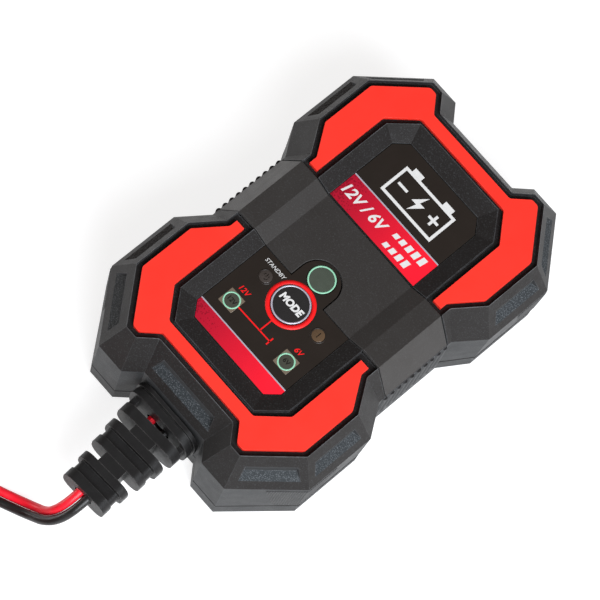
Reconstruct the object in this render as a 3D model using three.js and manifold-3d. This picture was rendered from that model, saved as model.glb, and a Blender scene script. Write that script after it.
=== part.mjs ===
// A small plug-in car battery charger: an X-shaped two-part case with a moulded bumper edge,
// two red inlays, a saddle band round the waist, a control label with a push button and
// indicator windows, folding mains blades in the back, and a two-wire lead with a quick connector.
// Millimetres, +Z out of the face, +Y up the face, and the back lies on z = 0.

import * as THREE from 'three';
import { mergeVertices } from 'three/addons/utils/BufferGeometryUtils.js';
import Module from 'manifold-3d';

const wasm = await Module();
wasm.setup();

// ---------- driving dimensions ----------

const GAP = 0.3;                    // clearance between two pieces that touch
const FILM_GAP = 0.15;              // clearance under and round a thin label or inlay
const FACE_Z = 32.3;                // rim of the face
const CREASE_Z = 22.1;              // where the sloping edge meets the wall
const PARTING_Z = 6.7;              // top of the rear cover
const LIP_Z = 1.7;                  // where the rear cover turns in to its back
const LABEL_Z = 30.4;               // top of the sunken label panel
const CREASE_OUT = 5.05;            // how far the crease stands out of the rim
const WALL_OUT = 5.25;              // how far the wall's foot stands out of the rim
const WALL = 2.2;                   // case wall
const CEILING_Z = 28.4;             // inside of the case face
const SIDE_FOOT_X = 33.9;           // half width at the back, a little less than at the crease

// One quarter of the rim, from the waist round the lobe to the middle of the end.
const WAIST_X = 24.1;
const LOBE_X = 29.3;
const LOBE_END_Y = 47.5;
const NOTCH_Y = 43.5;
const RIM_QUARTER = [
  [WAIST_X, 13.0], [LOBE_X, 20.4], [LOBE_X, 35.9],
  [19.4, LOBE_END_Y], [16.2, LOBE_END_Y], [12.6, NOTCH_Y],
];

const FOOT_QUARTER = [[18.7, 31.9], [13.5, 38.2]];      // top of the slopes round the label
const LABEL_QUARTER = [[14.4, 30.3], [11.6, 33.6]];     // the flat label panel
const INLAY_INNER_QUARTER = [[20.2, 32.4], [14.4, 39.1]];

const SIDE_SLOT = { y: 28.3, half: 6.0 };
const CORNER_SLOT = { half: 6.0 };
const LEAD_SLOT = { half: 8.6 };
const SLOT_TOP_OUT = 1.62;          // a slot's inner edge, measured out of the rim
const SLOT_FLOOR_Z = 26.4;
const SLOT_FOOT_OUT = 3.8;          // where its floor runs out into the slope
const SLOT_SPLAY = 1.1;             // how much wider the slot is at that edge, at each end

const FLUTE_COUNT = 10;             // upright ribs on each side of the waist
const FLUTE_PITCH = 2.1;
const FLUTE_R = 0.85;
const FLUTE_X = 28.9;

const INLAY_ROUND = 1.1;            // corner radius of the inlays and of their seats
const INLAY_INSET = 1.4;
const INLAY_DEPTH = 1.2;
const INLAY_END_Y = 11.3;

const SADDLE_LOW_Y = -9.3;
const SADDLE_HIGH_Y = 10.1;
const SADDLE_THICK = 1.2;
const ARCH_R = 5.3;
const ARCH_Y = -6.0;

const LABEL_THICK = 0.4;
const BUTTON_Y = -14.5;
const BUTTON_R = 4.7;
const BUTTON_FLANGE_R = 6.0;
const BUTTON_PROUD = 0.4;
const STATUS_Y = -4.9;
const STATUS_R = 3.3;
const WINDOW_X = 9.4;
const WINDOW_Y = -24.3;
const WINDOW_SIDE = 4.5;
const WINDOW_FOOT_Z = 26.6;
const DOT_R = 1.6;
const STANDBY_AT = [-8.7, -14.45];
const FAULT_AT = [9.4, -14.45];

const BOARD_TOP_Z = 22.9;
const BOARD_THICK = 1.6;
const BOARD_UNDER_Z = BOARD_TOP_Z - BOARD_THICK;
const BOARD_HALF = [20.6, 40.5];
const BOARD_CORNER = 8;

const POST_AT = [24.6, 32.0];
const POST_R = 3.2;
const SCREW_R = 1.3;
const SCREW_HEAD_R = 2.6;

const BAY_Y = 13.0;                 // pivot of the folding blades
const BAY_Z = 4.4;
const BAY_HALF_X = 11.4;
const BAY_CEILING_Z = 8.6;
const CARRIER_R = 3.7;
const BLADE_SPACING = 12.7;
const BLADE_WIDE = 6.35;
const BLADE_THICK = 1.5;
const BLADE_REACH = 21.0;

const WIRE_D = 2.24;                // one wire of the two-wire lead
const LEAD_Z = 14.4;
const RELIEF_WALL_Y = -49.0;
const RELIEF_BEND = THREE.MathUtils.degToRad(3.5);
const RELIEF_LONG = 27.4;

const COIL_AT = [-22.5, -123.5];
const COIL_OUTER_LANE = 28.3;
const LANE_PITCH = 4.7;
const LEVEL_PITCH = 2.35;
const COIL_LEVELS = 4;
const TURNS_PER_LEVEL = 2.25;
const COIL_FLOOR = 0.05;
const TIE_ANGLE = 25;
const TIE_HALF = 4;
const TIE_THICK = 0.9;
const TIE_INNER = COIL_OUTER_LANE - LANE_PITCH * (TURNS_PER_LEVEL + 0.5) - 2 * GAP;
const TIE_OUTER = COIL_OUTER_LANE + LANE_PITCH / 2 + GAP;
const COIL_ENTRY_ANGLE = THREE.MathUtils.degToRad(116.3);   // where the lead runs into the outer turn

// ---------- shape helpers ----------

const ROUND = 32;

function solid(geometry) {
  const bare = geometry.clone();
  for (const name of Object.keys(bare.attributes)) {
    if (name !== 'position') bare.deleteAttribute(name);
  }
  const merged = mergeVertices(bare, 1e-5);
  const index = merged.index.array;
  const triangles = [];
  for (let i = 0; i < index.length; i += 3) {
    const [a, b, c] = [index[i], index[i + 1], index[i + 2]];
    if (a !== b && b !== c && c !== a) triangles.push(a, b, c);
  }
  return new wasm.Manifold(new wasm.Mesh({
    numProp: 3,
    vertProperties: new Float32Array(merged.attributes.position.array),
    triVerts: new Uint32Array(triangles),
  }));
}

function surface(manifold) {
  const cut = manifold.getMesh();
  const geometry = new THREE.BufferGeometry();
  geometry.setAttribute('position', new THREE.BufferAttribute(cut.vertProperties, 3));
  geometry.setIndex(new THREE.BufferAttribute(cut.triVerts, 1));
  geometry.computeVertexNormals();
  return geometry;
}

function union(first, ...others) {
  return others.reduce((whole, next) => whole.add(next), first);
}

function less(first, ...others) {
  return others.reduce((rest, next) => rest.subtract(next), first);
}

// A solid whose cross-sections are polygons with the same number of corners, one per level.
function loft(levels) {
  const corners = levels[0].points.length;
  const positions = levels.flatMap(({ points, z }) => points.flatMap(([x, y]) => [x, y, z]));
  const index = [];
  for (let level = 0; level < levels.length - 1; level += 1) {
    for (let i = 0; i < corners; i += 1) {
      const a = level * corners + i;
      const b = level * corners + (i + 1) % corners;
      index.push(a, b, b + corners, a, b + corners, a + corners);
    }
  }
  const cap = (points) => {
    const contour = points.map(([x, y]) => new THREE.Vector2(x, y));
    return THREE.ShapeUtils.triangulateShape(contour, []);
  };
  const top = (levels.length - 1) * corners;
  for (const [a, b, c] of cap(levels[0].points)) index.push(a, c, b);
  for (const [a, b, c] of cap(levels[levels.length - 1].points)) index.push(top + a, top + b, top + c);
  const geometry = new THREE.BufferGeometry();
  geometry.setAttribute('position', new THREE.Float32BufferAttribute(positions, 3));
  geometry.setIndex(index);
  return solid(geometry);
}

function prism(points, low, high) {
  return loft([{ points, z: low }, { points, z: high }]);
}

function box(width, depth, height, x = 0, y = 0, z = 0) {
  return solid(new THREE.BoxGeometry(width, depth, height).translate(x, y, z));
}

// A box given by its two extreme corners.
function span(x0, x1, y0, y1, z0, z1) {
  return box(x1 - x0, y1 - y0, z1 - z0, (x0 + x1) / 2, (y0 + y1) / 2, (z0 + z1) / 2);
}

function disc(radius, low, high, x = 0, y = 0, sides = ROUND) {
  const geometry = new THREE.CylinderGeometry(radius, radius, high - low, sides);
  return solid(geometry.rotateX(Math.PI / 2).translate(x, y, (low + high) / 2));
}

function rod(radius, from, to, sides = ROUND) {
  const start = new THREE.Vector3(...from);
  const run = new THREE.Vector3(...to).sub(start);
  const geometry = new THREE.CylinderGeometry(radius, radius, run.length(), sides);
  const turn = new THREE.Quaternion().setFromUnitVectors(new THREE.Vector3(0, 1, 0), run.clone().normalize());
  geometry.applyQuaternion(turn);
  const middle = start.add(run.multiplyScalar(0.5));
  return solid(geometry.translate(middle.x, middle.y, middle.z));
}

// Moves each edge of an outline outwards by a distance and joins the moved edges again.
function grow(points, distance) {
  return points.map((point, i) => {
    const before = points[(i + points.length - 1) % points.length];
    const after = points[(i + 1) % points.length];
    const normal = ([ax, ay], [bx, by]) => {
      const length = Math.hypot(bx - ax, by - ay);
      return [(by - ay) / length, (ax - bx) / length];
    };
    const [ux, uy] = normal(before, point);
    const [vx, vy] = normal(point, after);
    const share = distance / (1 + ux * vx + uy * vy);
    return [point[0] + share * (ux + vx), point[1] + share * (uy + vy)];
  });
}

// Replaces each corner of an outline by a short arc.
function softened(points, radius, steps = 3) {
  return points.flatMap((point, i) => {
    const corner = new THREE.Vector2(...point);
    const before = new THREE.Vector2(...points[(i + points.length - 1) % points.length]).sub(corner);
    const after = new THREE.Vector2(...points[(i + 1) % points.length]).sub(corner);
    const half = Math.acos(before.clone().normalize().dot(after.clone().normalize())) / 2;
    const back = Math.min(radius / Math.tan(half), before.length() * 0.4, after.length() * 0.4);
    const start = corner.clone().addScaledVector(before.normalize(), back);
    const end = corner.clone().addScaledVector(after.normalize(), back);
    const bend = new THREE.QuadraticBezierCurve(start, corner, end);
    return bend.getPoints(steps).map(({ x, y }) => [x, y]);
  });
}

// Mirrors a quarter outline into the whole one, anticlockwise.
function whole(quarter) {
  const back = [...quarter].reverse();
  return [
    ...quarter,
    ...back.map(([x, y]) => [-x, y]),
    ...quarter.map(([x, y]) => [-x, -y]),
    ...back.map(([x, y]) => [x, -y]),
  ];
}

function roundedBox(width, height, radius, corner = 4) {
  const points = [];
  const [w, h] = [width / 2 - radius, height / 2 - radius];
  for (const [sx, sy, start] of [[1, 1, 0], [-1, 1, 90], [-1, -1, 180], [1, -1, 270]]) {
    for (let i = 0; i <= corner; i += 1) {
      const angle = THREE.MathUtils.degToRad(start + (90 * i) / corner);
      points.push([sx * w + radius * Math.cos(angle), sy * h + radius * Math.sin(angle)]);
    }
  }
  return points;
}

function tube(path, radius, steps, sides = 8) {
  const circle = new THREE.Shape().absarc(0, 0, radius, 0, Math.PI * 2);
  const section = new THREE.Shape(circle.getSpacedPoints(sides).slice(0, sides));
  const curve = new THREE.CatmullRomCurve3(path.map((point) => new THREE.Vector3(...point)));
  return solid(new THREE.ExtrudeGeometry(section, { steps, bevelEnabled: false, extrudePath: curve }));
}

// ---------- materials and nodes ----------

const MATERIALS = {
  rubber: [0x2c2e31, 0.75, 0],
  blackPlastic: [0x1d1c1d, 0.5, 0],
  red: [0xe8281e, 0.45, 0],
  label: [0x221e1c, 0.4, 0],
  clear: [0x5d645e, 0.2, 0],
  steel: [0xb9bcc0, 0.3, 1],
  brass: [0xc8a24a, 0.3, 1],
  copper: [0xb8683a, 0.4, 1],
  board: [0x1f6a3c, 0.5, 0],
  ceramic: [0xb9874a, 0.5, 0],
  ferrite: [0x34363a, 0.6, 0],
  aluminium: [0xa8adb3, 0.35, 1],
  yellow: [0xd9c23a, 0.5, 0],
  blue: [0x24479a, 0.4, 0],
  chip: [0x18191b, 0.4, 0],
  white: [0xe6e6e0, 0.5, 0],
  redWire: [0xd81420, 0.35, 0],
  blackWire: [0x141416, 0.4, 0],
};

const charger = new THREE.Group();

function node(name, manifold, material, parent = charger) {
  const [color, roughness, metalness] = MATERIALS[material];
  const finish = new THREE.MeshStandardMaterial({ color, roughness, metalness });
  const mesh = new THREE.Mesh(surface(manifold), finish);
  mesh.name = name;
  parent.add(mesh);
  return mesh;
}

// ---------- outlines shared by the case parts ----------

const rim = whole(RIM_QUARTER);
const foot = grow(rim, WALL_OUT).map(([x, y]) => [THREE.MathUtils.clamp(x, -SIDE_FOOT_X, SIDE_FOOT_X), y]);
const labelPanel = whole(LABEL_QUARTER);
const slopeTop = whole(FOOT_QUARTER);
const inlayInner = whole(INLAY_INNER_QUARTER);

// The arch-topped tab that the control label sends up into the saddle band.
function archOutline(extra) {
  const radius = ARCH_R + extra;
  const points = [[-radius, SADDLE_LOW_Y - 2], [radius, SADDLE_LOW_Y - 2]];
  for (let i = 0; i <= 16; i += 1) {
    const angle = (Math.PI * i) / 16;
    points.push([radius * Math.cos(angle), ARCH_Y + radius * Math.sin(angle)]);
  }
  return points;
}

// A strip across the waist that follows the case's outer surface, down to a level on each side.
function saddleStrip(outer, inner, low, high, bottom) {
  const top = [
    [CREASE_OUT + WAIST_X, CREASE_Z],
    [WAIST_X, FACE_Z],
    [FOOT_QUARTER[0][0], FACE_Z],
    [LABEL_QUARTER[0][0], LABEL_Z],
  ];
  const edge = WALL_OUT + WAIST_X;
  const section = [...top, ...[...top].reverse().map(([x, z]) => [-x, z]), [-edge, 0], [edge, 0]];
  const full = prism(grow(section, outer), -high, -low);
  const between = less(full, prism(grow(section, inner), -high - 1, -low + 1));
  return between.rotate([90, 0, 0]).intersect(span(-60, 60, low, high, bottom, 60));
}

// ---------- case ----------

// A slot in one facet of the sloping edge: an upright back wall and a floor that runs out into the
// slope. (x, y) is the middle of the facet's rim edge and angle is where the facet faces.
function slotCut(x, y, angle, half) {
  const fall = (FACE_Z - CREASE_Z) / CREASE_OUT;
  const footZ = FACE_Z - fall * SLOT_FOOT_OUT;
  const floorSlope = (SLOT_FLOOR_Z - footZ) / (SLOT_FOOT_OUT - SLOT_TOP_OUT);
  const farOut = SLOT_FOOT_OUT + 2;
  const farZ = SLOT_FLOOR_Z - floorSlope * (farOut - SLOT_TOP_OUT);
  const farHalf = half + (SLOT_SPLAY * (farOut - SLOT_TOP_OUT)) / (SLOT_FOOT_OUT - SLOT_TOP_OUT);
  const outline = (out, wide, z) => [
    [out, wide, z], [out, wide, FACE_Z], [out, -wide, FACE_Z], [out, -wide, z],
  ];
  const corners = [...outline(SLOT_TOP_OUT, half, SLOT_FLOOR_Z), ...outline(farOut, farHalf, farZ)];
  return wasm.Manifold.hull(corners).rotate([0, 0, THREE.MathUtils.radToDeg(angle)]).translate([x, y, 0]);
}

// The long recesses in the sloping edge: one on each lobe's side, one on each lobe's corner,
// and one over the lead.
function bumperSlots() {
  const [, , [sideX, sideY], [cornerX, cornerY]] = RIM_QUARTER;
  const turn = Math.atan2(sideX - cornerX, cornerY - sideY);
  const cuts = [slotCut(0, -NOTCH_Y, -Math.PI / 2, LEAD_SLOT.half)];
  for (const sx of [1, -1]) {
    for (const sy of [1, -1]) {
      cuts.push(slotCut(sx * LOBE_X, sy * SIDE_SLOT.y, sx > 0 ? 0 : Math.PI, SIDE_SLOT.half));
      const facing = Math.atan2(sy * Math.sin(turn), sx * Math.cos(turn));
      cuts.push(slotCut((sx * (sideX + cornerX)) / 2, (sy * (sideY + cornerY)) / 2, facing, CORNER_SLOT.half));
    }
  }
  return cuts;
}

// Upright half-round ribs down both sides of the waist, for the fingers.
function waistFlutes() {
  const flutes = [];
  for (const side of [-1, 1]) {
    for (let i = 0; i < FLUTE_COUNT; i += 1) {
      const y = (i - (FLUTE_COUNT - 1) / 2) * FLUTE_PITCH;
      flutes.push(disc(FLUTE_R, PARTING_Z + GAP + 0.3, CREASE_Z - 0.6, side * FLUTE_X, y, 12));
    }
  }
  return flutes;
}

function labelHoles(extra, low, high) {
  const holes = [
    disc(BUTTON_R + extra, low, high, 0, BUTTON_Y),
    disc(STATUS_R + extra, low, high, 0, STATUS_Y),
    disc(DOT_R + extra, low, high, ...STANDBY_AT, 20),
    disc(DOT_R + extra, low, high, ...FAULT_AT, 20),
  ];
  const half = WINDOW_SIDE / 2 + extra;
  for (const side of [-1, 1]) {
    const x = side * WINDOW_X;
    holes.push(span(x - half, x + half, WINDOW_Y - half, WINDOW_Y + half, low, high));
  }
  return holes;
}

function frontShell() {
  const outside = loft([
    { points: foot, z: PARTING_Z + GAP },
    { points: grow(rim, CREASE_OUT), z: CREASE_Z },
    { points: rim, z: FACE_Z },
  ]);
  const cavity = loft([
    { points: grow(rim, CREASE_OUT - WALL), z: PARTING_Z - 1 },
    { points: grow(rim, CREASE_OUT - WALL), z: CREASE_Z - 0.9 },
    { points: grow(rim, -0.5), z: CEILING_Z },
  ]);
  const slopes = loft([
    { points: labelPanel, z: LABEL_Z },
    { points: slopeTop, z: FACE_Z },
    { points: slopeTop, z: FACE_Z + 1 },
  ]);
  const labelBed = LABEL_Z - LABEL_THICK - FILM_GAP;
  const labelSeat = prism(grow(labelPanel, FILM_GAP), labelBed, FACE_Z);
  const inlaySeat = prism(softened(rim, INLAY_ROUND), FACE_Z - INLAY_DEPTH - FILM_GAP, FACE_Z + 1);
  const inlayPlateau = prism(slopeTop, 0, FACE_Z + 2);
  const band = saddleStrip(1, -SADDLE_THICK - GAP, SADDLE_LOW_Y - GAP, SADDLE_HIGH_Y + GAP, CREASE_Z - GAP);
  const archIsland = prism(archOutline(0), CEILING_Z - 1, labelBed);
  const reliefHole = box(15, 8, 7.4, 0, RELIEF_WALL_Y + 1, LEAD_Z);
  let shell = less(
    outside, slopes, labelSeat, less(inlaySeat, inlayPlateau), less(band, archIsland), ...bumperSlots(),
  );
  shell = union(shell, ...waistFlutes()).subtract(cavity);
  for (const sx of [1, -1]) {
    for (const sy of [1, -1]) {
      const [x, y] = [sx * POST_AT[0], sy * POST_AT[1]];
      const post = disc(POST_R, 8.4, CEILING_Z + 1, x, y, 20).intersect(outside);
      shell = shell.add(post).subtract(disc(SCREW_R + 0.1, 8, 20, x, y, 12));
    }
  }
  return less(shell, reliefHole, ...labelHoles(GAP, CEILING_Z - 2, FACE_Z));
}

function rearCover() {
  const outside = loft([
    { points: grow(foot, -LIP_Z), z: 0 },
    { points: foot, z: LIP_Z },
    { points: foot, z: PARTING_Z },
  ]);
  const cavity = prism(grow(rim, 2.6), 2, PARTING_Z + 1);
  const gasketGroove = less(prism(grow(rim, 4.7), 4.7, 8), prism(grow(rim, 3.2), 4, 9));
  const [bayLow, bayHigh] = [BAY_Y - 4.4, BAY_Y + BLADE_REACH + 1.2];
  const bayWall = 1.6;
  const blockX = BAY_HALF_X + bayWall;
  const bayBlock = span(-blockX, blockX, bayLow - bayWall, bayHigh + bayWall, 0.5, BAY_CEILING_Z + 1.4);
  const carrierBay = span(-BAY_HALF_X, BAY_HALF_X, bayLow, BAY_Y + 5.6, -1, BAY_CEILING_Z);
  const bladeSlots = [-1, 1].map((side) => {
    const x = (side * BLADE_SPACING) / 2;
    return span(x - 1.4, x + 1.4, BAY_Y, bayHigh, -1, BAY_CEILING_Z);
  });
  const thumbDip = span(-BLADE_SPACING / 2 - 1.4, BLADE_SPACING / 2 + 1.4, bayHigh - 4, bayHigh, -1, 3.4);
  const springWindows = [-1, 1].map((side) => {
    const x = (side * BLADE_SPACING) / 2;
    return box(3.2, 3.2, 6, x, BAY_Y, BAY_CEILING_Z);
  });
  const pinHole = rod(1.15, [-BAY_HALF_X - 1.3, BAY_Y, BAY_Z], [BAY_HALF_X + 1.3, BAY_Y, BAY_Z], 16);
  let cover = outside.subtract(cavity);
  cover = less(cover.add(bayBlock), gasketGroove, carrierBay, ...bladeSlots, thumbDip);
  cover = less(cover, ...springWindows, pinHole);
  for (const sx of [1, -1]) {
    for (const sy of [1, -1]) {
      const [x, y] = [sx * POST_AT[0], sy * POST_AT[1]];
      const socket = disc(POST_R + 1, 1, 8, x, y, 20);
      cover = cover.add(socket);
      cover = less(cover, disc(SCREW_HEAD_R + GAP, -1, 3.6, x, y, 20), disc(SCREW_R + GAP, 0, 9, x, y, 12));
    }
  }
  return cover;
}

function caseGasket() {
  return less(prism(grow(rim, 4.5), 5.0, PARTING_Z - 0.05), prism(grow(rim, 3.4), 4, 8));
}

// ---------- face trim ----------

function redInlay(side) {
  const low = FACE_Z - INLAY_DEPTH;
  const outer = softened(grow(rim, -INLAY_INSET), INLAY_ROUND);
  const inner = softened(inlayInner, INLAY_ROUND);
  const plate = less(prism(outer, low, FACE_Z), prism(inner, low - 1, FACE_Z + 1));
  const [y0, y1] = side > 0 ? [INLAY_END_Y, 60] : [-60, -INLAY_END_Y];
  return plate.intersect(span(-60, 60, y0, y1, 0, 60));
}

function saddleBand() {
  const strip = saddleStrip(0, -SADDLE_THICK, SADDLE_LOW_Y, SADDLE_HIGH_Y, CREASE_Z);
  return strip.subtract(prism(archOutline(GAP), CEILING_Z - 2, FACE_Z + 1));
}

function upperLabel() {
  const film = prism(labelPanel, LABEL_Z - LABEL_THICK, LABEL_Z);
  return film.intersect(span(-30, 30, SADDLE_HIGH_Y + GAP, 60, 0, 60));
}

function lowerLabel() {
  const low = LABEL_Z - LABEL_THICK;
  const film = prism(labelPanel, low, LABEL_Z).intersect(span(-30, 30, -60, SADDLE_LOW_Y - GAP, 0, 60));
  const tab = prism(archOutline(0), low, LABEL_Z);
  return less(film.add(tab), ...labelHoles(GAP, low - 1, LABEL_Z + 1));
}

// ---------- button, windows and lamps ----------

function modeButton() {
  const cap = disc(BUTTON_R, 27.6, LABEL_Z + BUTTON_PROUD - 0.3, 0, BUTTON_Y);
  const crown = new THREE.CylinderGeometry(BUTTON_R - 0.35, BUTTON_R, 0.3, ROUND).rotateX(Math.PI / 2);
  crown.translate(0, BUTTON_Y, LABEL_Z + BUTTON_PROUD - 0.15);
  const flange = disc(BUTTON_FLANGE_R, 27.0, CEILING_Z - GAP, 0, BUTTON_Y);
  return union(cap, solid(crown), flange);
}

function windowSolid(section) {
  return section(WINDOW_FOOT_Z, LABEL_Z + 0.05);
}

function lamp(name, x, y) {
  const top = BOARD_TOP_Z + 1.9;
  const body = box(3.0, 1.6, top - BOARD_TOP_Z - GAP, x, y, (top + BOARD_TOP_Z + GAP) / 2);
  return node(name, body, 'white');
}

// A black frame on the board that keeps each lamp's light to its own window.
function lightBaffle(lamps) {
  const low = BOARD_TOP_Z + GAP;
  const high = WINDOW_FOOT_Z - 0.4;
  let frame = union(
    span(-13, 13, -27.6, -18.9, low, high),
    span(-13, -5.2, -19, -11.4, low, high),
    span(5.2, 13, -19, -11.4, low, high),
    span(-13, 13, -11.5, -8.2, low, high),
    span(-5.2, 5.2, -8.3, -1.6, low, high),
  );
  for (const [x, y] of lamps) frame = frame.subtract(disc(2.4, low - 1, high + 1, x, y, 16));
  return less(frame, disc(7.4, low - 1, high + 1, 0, BUTTON_Y, 24));
}

function switchBase() {
  const base = box(6, 6, 2.6, 0, BUTTON_Y, BOARD_TOP_Z + GAP + 1.3);
  return base.subtract(disc(1.85, BOARD_TOP_Z + 0.9, 30, 0, BUTTON_Y, 20));
}

function switchPlunger() {
  return disc(1.6, BOARD_TOP_Z + 1.6, 26.85, 0, BUTTON_Y, 20);
}

// ---------- circuit board and what it carries ----------

function circuitBoard() {
  const [x, y] = BOARD_HALF;
  return prism(whole([[x, y - BOARD_CORNER], [x - BOARD_CORNER, y]]), BOARD_UNDER_Z, BOARD_TOP_Z);
}

const UNDER_Z = BOARD_UNDER_Z - GAP;

function transformerCore() {
  const core = box(18, 15, 12.6, -3, -22, UNDER_Z - 6.3);
  return less(core, box(11.4, 20, 8.6, -3, -22, UNDER_Z - 6.3));
}

function transformerWinding() {
  return box(10.8, 18.5, 8, -3, -22, UNDER_Z - 6.3);
}

function canCapacitor(radius, height, x, y) {
  const groove = radius - 0.35;
  const profile = [
    [0, -height], [radius - 0.6, -height], [radius, -height + 0.6],
    [radius, -2.6], [groove, -2.1], [radius, -1.6], [radius, 0], [0, 0],
  ];
  const points = profile.map(([r, z]) => new THREE.Vector2(r, z));
  const can = new THREE.LatheGeometry(points, 24).rotateX(Math.PI / 2);
  return solid(can.translate(x, y, UNDER_Z));
}

function choke() {
  const ring = new THREE.TorusGeometry(4.2, 1.9, 10, 24).rotateY(Math.PI / 2);
  return solid(ring.translate(-16.2, 8.5, UNDER_Z - 6.2));
}

function powerTransistor() {
  return union(box(4.4, 10, 9, 14.6, -30, UNDER_Z - 4.5 - 2), box(0.8, 6, 2.5, 14.6, -30, UNDER_Z - 1.1));
}

function heatSink() {
  const fins = [-3.4, 0, 3.4].map((dy) => box(4, 1.1, 12, 19.4, -30 + dy, UNDER_Z - 7));
  return union(box(1.4, 11, 12, 17.9, -30, UNDER_Z - 7), ...fins);
}

function fuse() {
  const [x, z] = [-17, UNDER_Z - 2.6];
  const body = rod(1.9, [x, -9, z], [x, 0, z], 16);
  const caps = [[-9.6, -7.2], [-1.8, 0.6]].map(([a, b]) => rod(2.2, [x, a, z], [x, b, z], 16));
  return union(body, ...caps);
}

function contactSpring(side) {
  const x = (side * BLADE_SPACING) / 2;
  const strip = box(2.4, 12, 0.5, x, BAY_Y + 4.7, BAY_CEILING_Z + 1.95);
  const tab = box(2.4, 2.2, 2.4, x, BAY_Y, BAY_CEILING_Z + 1.0);
  return strip.add(tab);
}

function mainsWire(side) {
  const x = (side * BLADE_SPACING) / 2;
  const path = [
    [x, BAY_Y + 12.2, 11.6],
    [x, BAY_Y + 15.5, 12.2],
    [x * 1.2, BAY_Y + 17, 15],
    [x * 1.3, BAY_Y + 16.5, 18],
    [x * 1.3, BAY_Y + 16, UNDER_Z],
  ];
  return tube(path, 0.7, 14);
}

// ---------- folding mains blades ----------

function bladeCarrier() {
  const barrel = rod(CARRIER_R, [-10.9, BAY_Y, BAY_Z], [10.9, BAY_Y, BAY_Z], 24);
  const sockets = [-1, 1].map((side) => box(4.4, 3.4, 6.2, (side * BLADE_SPACING) / 2, BAY_Y + 2.4, BAY_Z));
  const bladeHoles = [-1, 1].map((side) => box(
    BLADE_THICK + 2 * FILM_GAP, 6, BLADE_WIDE + 2, (side * BLADE_SPACING) / 2, BAY_Y + 5.0, BAY_Z));
  const bore = rod(1.12, [-12, BAY_Y, BAY_Z], [12, BAY_Y, BAY_Z], 24);
  return less(barrel.add(union(...sockets)), ...bladeHoles, bore);
}

function plugBlade(side) {
  const x = (side * BLADE_SPACING) / 2;
  const [tip, half] = [BAY_Y + BLADE_REACH, BLADE_WIDE / 2];
  const root = BAY_Y + 2.15;
  const outline = [
    [root, -half + 0.7], [tip - 1.6, -half], [tip, -half + 1.6],
    [tip, half - 1.6], [tip - 1.6, half], [root, half - 0.7],
  ];
  const shape = new THREE.Shape(outline.map(([y, z]) => new THREE.Vector2(y, z)));
  const geometry = new THREE.ExtrudeGeometry(shape, { depth: BLADE_THICK, bevelEnabled: false });
  // The shape's own axes (y, z, thickness) become the part's Y, Z and X.
  geometry.applyMatrix4(new THREE.Matrix4().makeBasis(
    new THREE.Vector3(0, 1, 0), new THREE.Vector3(0, 0, 1), new THREE.Vector3(1, 0, 0)));
  const hole = rod(1.1, [x - 3, tip - 4.2, BAY_Z], [x + 3, tip - 4.2, BAY_Z], 16);
  return solid(geometry.translate(x - BLADE_THICK / 2, 0, BAY_Z)).subtract(hole);
}

function bladePin() {
  return rod(1.0, [-12.5, BAY_Y, BAY_Z], [12.5, BAY_Y, BAY_Z], 24);
}

// ---------- strain relief ----------

// Cross-sections are drawn with x across and y up, and stacked away from the case wall.
function reliefPlate(from, to, halfWidth, halfHeight, bent = true) {
  const radius = Math.min(halfHeight * 0.75, halfWidth) - 0.05;
  const points = roundedBox(2 * halfWidth, 2 * halfHeight, radius, 5);
  const shape = new THREE.Shape(points.map(([x, y]) => new THREE.Vector2(x, y)));
  const geometry = new THREE.ExtrudeGeometry(shape, { depth: to - from, bevelEnabled: false, steps: 1 });
  geometry.translate(0, 0, from).rotateX(Math.PI / 2);
  return solid(placeRelief(geometry, bent));
}

// The relief leans a little to one side beyond its collar.
function placeRelief(geometry, bent = true) {
  if (bent) geometry.translate(0, 1.5, 0).rotateZ(RELIEF_BEND).translate(0, -1.5, 0);
  return geometry.translate(0, RELIEF_WALL_Y, LEAD_Z);
}

function reliefBar(from, to, x0, x1, halfHeight) {
  const geometry = new THREE.BoxGeometry(x1 - x0, to - from, 2 * halfHeight);
  geometry.translate((x0 + x1) / 2, -(from + to) / 2, 0);
  return solid(placeRelief(geometry));
}

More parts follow.
